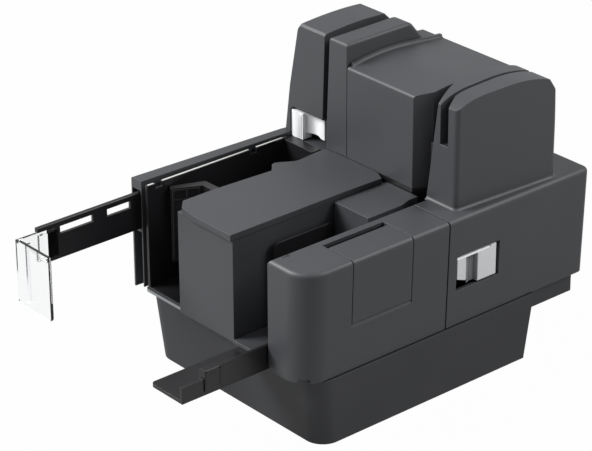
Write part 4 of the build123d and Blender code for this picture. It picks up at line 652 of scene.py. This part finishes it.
# --- studio --------------------------------------------------------------------------------------------
class SCANNER_OT_studio(bpy.types.Operator):
    """Sets up the camera, the lamps, the pale floor and the room light"""
    bl_idname = "scanner.studio"
    bl_label = "Studio"
    # columns: the camera's right, its up and the way back from its view
    CAMERA_TURN = Matrix(((0.6517, -0.3319, 0.682), (0.7584, 0.2899, -0.5837), (-0.004, 0.8977, 0.4406)))
    KEY_PLACE, KEY_SIZE = (-0.8, -0.95, 1.05), 0.7
    FILL_PLACE, FILL_SIZE = (0.42, 0.35, 0.58), 0.35
    LAMP_AIM = (0, 0, 0.08)

    def execute(self, context):
        studio = context.scene.scanner_studio
        clear_selection()
        bpy.ops.object.camera_add(location=studio.camera_place)
        camera = bpy.context.object
        camera.name = "studio_camera"
        camera.data.sensor_width = 36
        camera.data.lens = studio.lens
        camera.data.clip_start = 0.05
        camera.rotation_euler = self.CAMERA_TURN.to_euler()
        context.scene.camera = camera
        for name, place, power, size in (("key_lamp", self.KEY_PLACE, studio.key, self.KEY_SIZE),
                                         ("fill_lamp", self.FILL_PLACE, studio.fill, self.FILL_SIZE)):
            bpy.ops.object.light_add(type="AREA", location=place)
            lamp = bpy.context.object
            lamp.name = name
            lamp.data.shape = "SQUARE"
            lamp.data.size = size
            lamp.data.energy = power
            way = Vector(self.LAMP_AIM) - Vector(place)
            lamp.rotation_euler = way.to_track_quat("-Z", "Y").to_euler()
        self.lay_floor(studio)
        self.light_room(context, studio)
        context.scene.view_settings.view_transform = "Standard"
        return {"FINISHED"}

    def lay_floor(self, studio):
        """A wide pale floor that shows white and keeps the soft shadow."""
        width, drop, fibre_size, white_share = 12, 0.2 * MM, 0.02, 0.985
        clear_selection()
        bpy.ops.mesh.primitive_plane_add(size=width, location=(0, 0, -drop))
        floor = bpy.context.object
        floor.name = "floor"
        bpy.ops.object.transform_apply(location=True)
        recipe = Recipe("floor_paper")
        recipe.set(Roughness=1.0, Specular_IOR_Level=0.0)
        fibres = recipe.noise(fibre_size, detail=4.0)
        recipe.link(recipe.mix(fibres, shifted(studio.floor, 0.99), shifted(studio.floor, 1.01)),
                    recipe.shader.inputs["Base Color"])
        self.show_white(recipe, recipe.shader.outputs[0], white_share)
        floor.data.materials.append(recipe.material)

    def show_white(self, recipe, surface, share):
        """Mixes plain white into what the camera, reflections and clear parts see of a surface."""
        in_reflections = 0.5
        path = recipe.add("ShaderNodeLightPath")
        seen = recipe.math("MAXIMUM", path.outputs["Is Camera Ray"], path.outputs["Is Transmission Ray"])
        glossy = recipe.math("MULTIPLY", path.outputs["Is Glossy Ray"], in_reflections)
        seen = recipe.math("MAXIMUM", seen, glossy)
        white = recipe.add("ShaderNodeEmission", Strength=1.0)
        white.inputs["Color"].default_value = (1, 1, 1, 1)
        mixed = recipe.add("ShaderNodeMixShader")
        recipe.link(recipe.math("MULTIPLY", seen, share), mixed.inputs[0])
        recipe.link(surface, mixed.inputs[1])
        recipe.link(white.outputs[0], mixed.inputs[2])
        output = next(node for node in recipe.tree.nodes if node.type == "OUTPUT_MATERIAL")
        recipe.link(mixed.outputs[0], output.inputs["Surface"])

    def light_room(self, context, studio):
        """Even light from all sides, behind a white background."""
        sky_tint, in_reflections = (0.93, 0.96, 1.0, 1), 0.6
        world = bpy.data.worlds.new("room")
        world.use_nodes = True
        context.scene.world = world
        tree = world.node_tree
        tree.nodes.clear()
        path = tree.nodes.new("ShaderNodeLightPath")
        even = tree.nodes.new("ShaderNodeBackground")
        even.inputs["Color"].default_value = sky_tint
        even.inputs["Strength"].default_value = studio.sky
        white = tree.nodes.new("ShaderNodeBackground")
        white.inputs["Color"].default_value = (1, 1, 1, 1)
        either = tree.nodes.new("ShaderNodeMath")
        either.operation = "MAXIMUM"
        glossy = tree.nodes.new("ShaderNodeMath")
        glossy.operation = "MULTIPLY_ADD"
        glossy.use_clamp = True
        glossy.inputs[1].default_value = in_reflections
        mixed = tree.nodes.new("ShaderNodeMixShader")
        output = tree.nodes.new("ShaderNodeOutputWorld")
        for start, end in ((path.outputs["Is Camera Ray"], either.inputs[0]),
                           (path.outputs["Is Transmission Ray"], either.inputs[1]),
                           (path.outputs["Is Glossy Ray"], glossy.inputs[0]),
                           (either.outputs[0], glossy.inputs[2]), (glossy.outputs[0], mixed.inputs[0]),
                           (even.outputs[0], mixed.inputs[1]),
                           (white.outputs[0], mixed.inputs[2]), (mixed.outputs[0], output.inputs["Surface"])):
            tree.links.new(start, end)


OPERATORS = (SCANNER_OT_finishes, SCANNER_OT_latch_painted_shade_lining, SCANNER_OT_lever_ridges, SCANNER_OT_liner_highlight_strip,
             SCANNER_OT_flap_ribs, SCANNER_OT_clip_frame, SCANNER_OT_feed_arrow, SCANNER_OT_screw_crosses,
             SCANNER_OT_studio)
GROUPS = {"scanner_plastics": ScannerPlastics, "scanner_hardware": ScannerHardware,
          "scanner_trim": ScannerTrim, "scanner_studio": ScannerStudio}
CLASSES = (*GROUPS.values(), *OPERATORS)


class SCANNER_PT_panel(bpy.types.Panel):
    """The scanner's settings and steps"""
    bl_idname = "SCANNER_PT_panel"
    bl_label = "Cheque scanner"
    bl_space_type = "VIEW_3D"
    bl_region_type = "UI"
    bl_category = "Scanner"

    def draw(self, context):
        for home, group in GROUPS.items():
            column = self.layout.column(align=True)
            column.label(text=group.__doc__)
            for key in group.__annotations__:
                column.prop(getattr(context.scene, home), key)
        for step in OPERATORS:
            self.layout.operator(step.bl_idname)


def register():
    """Adds the settings, the steps and the panel."""
    for item in (*CLASSES, SCANNER_PT_panel):
        bpy.utils.register_class(item)
    for home, group in GROUPS.items():
        setattr(bpy.types.Scene, home, PointerProperty(type=group))


def unregister():
    """Takes them away again."""
    for home in GROUPS:
        delattr(bpy.types.Scene, home)
    for item in reversed((*CLASSES, SCANNER_PT_panel)):
        bpy.utils.unregister_class(item)


def main():
    """Runs every step in order."""
    register()
    bpy.ops.scanner.finishes()
    bpy.ops.scanner.latch_grip()
    bpy.ops.scanner.lever_ridges()
    bpy.ops.scanner.liner_strip()
    bpy.ops.scanner.flap_ribs()
    bpy.ops.scanner.clip_frame()
    bpy.ops.scanner.feed_arrow()
    bpy.ops.scanner.screw_crosses()
    bpy.ops.scanner.studio()


if __name__ == "__main__":
    main()
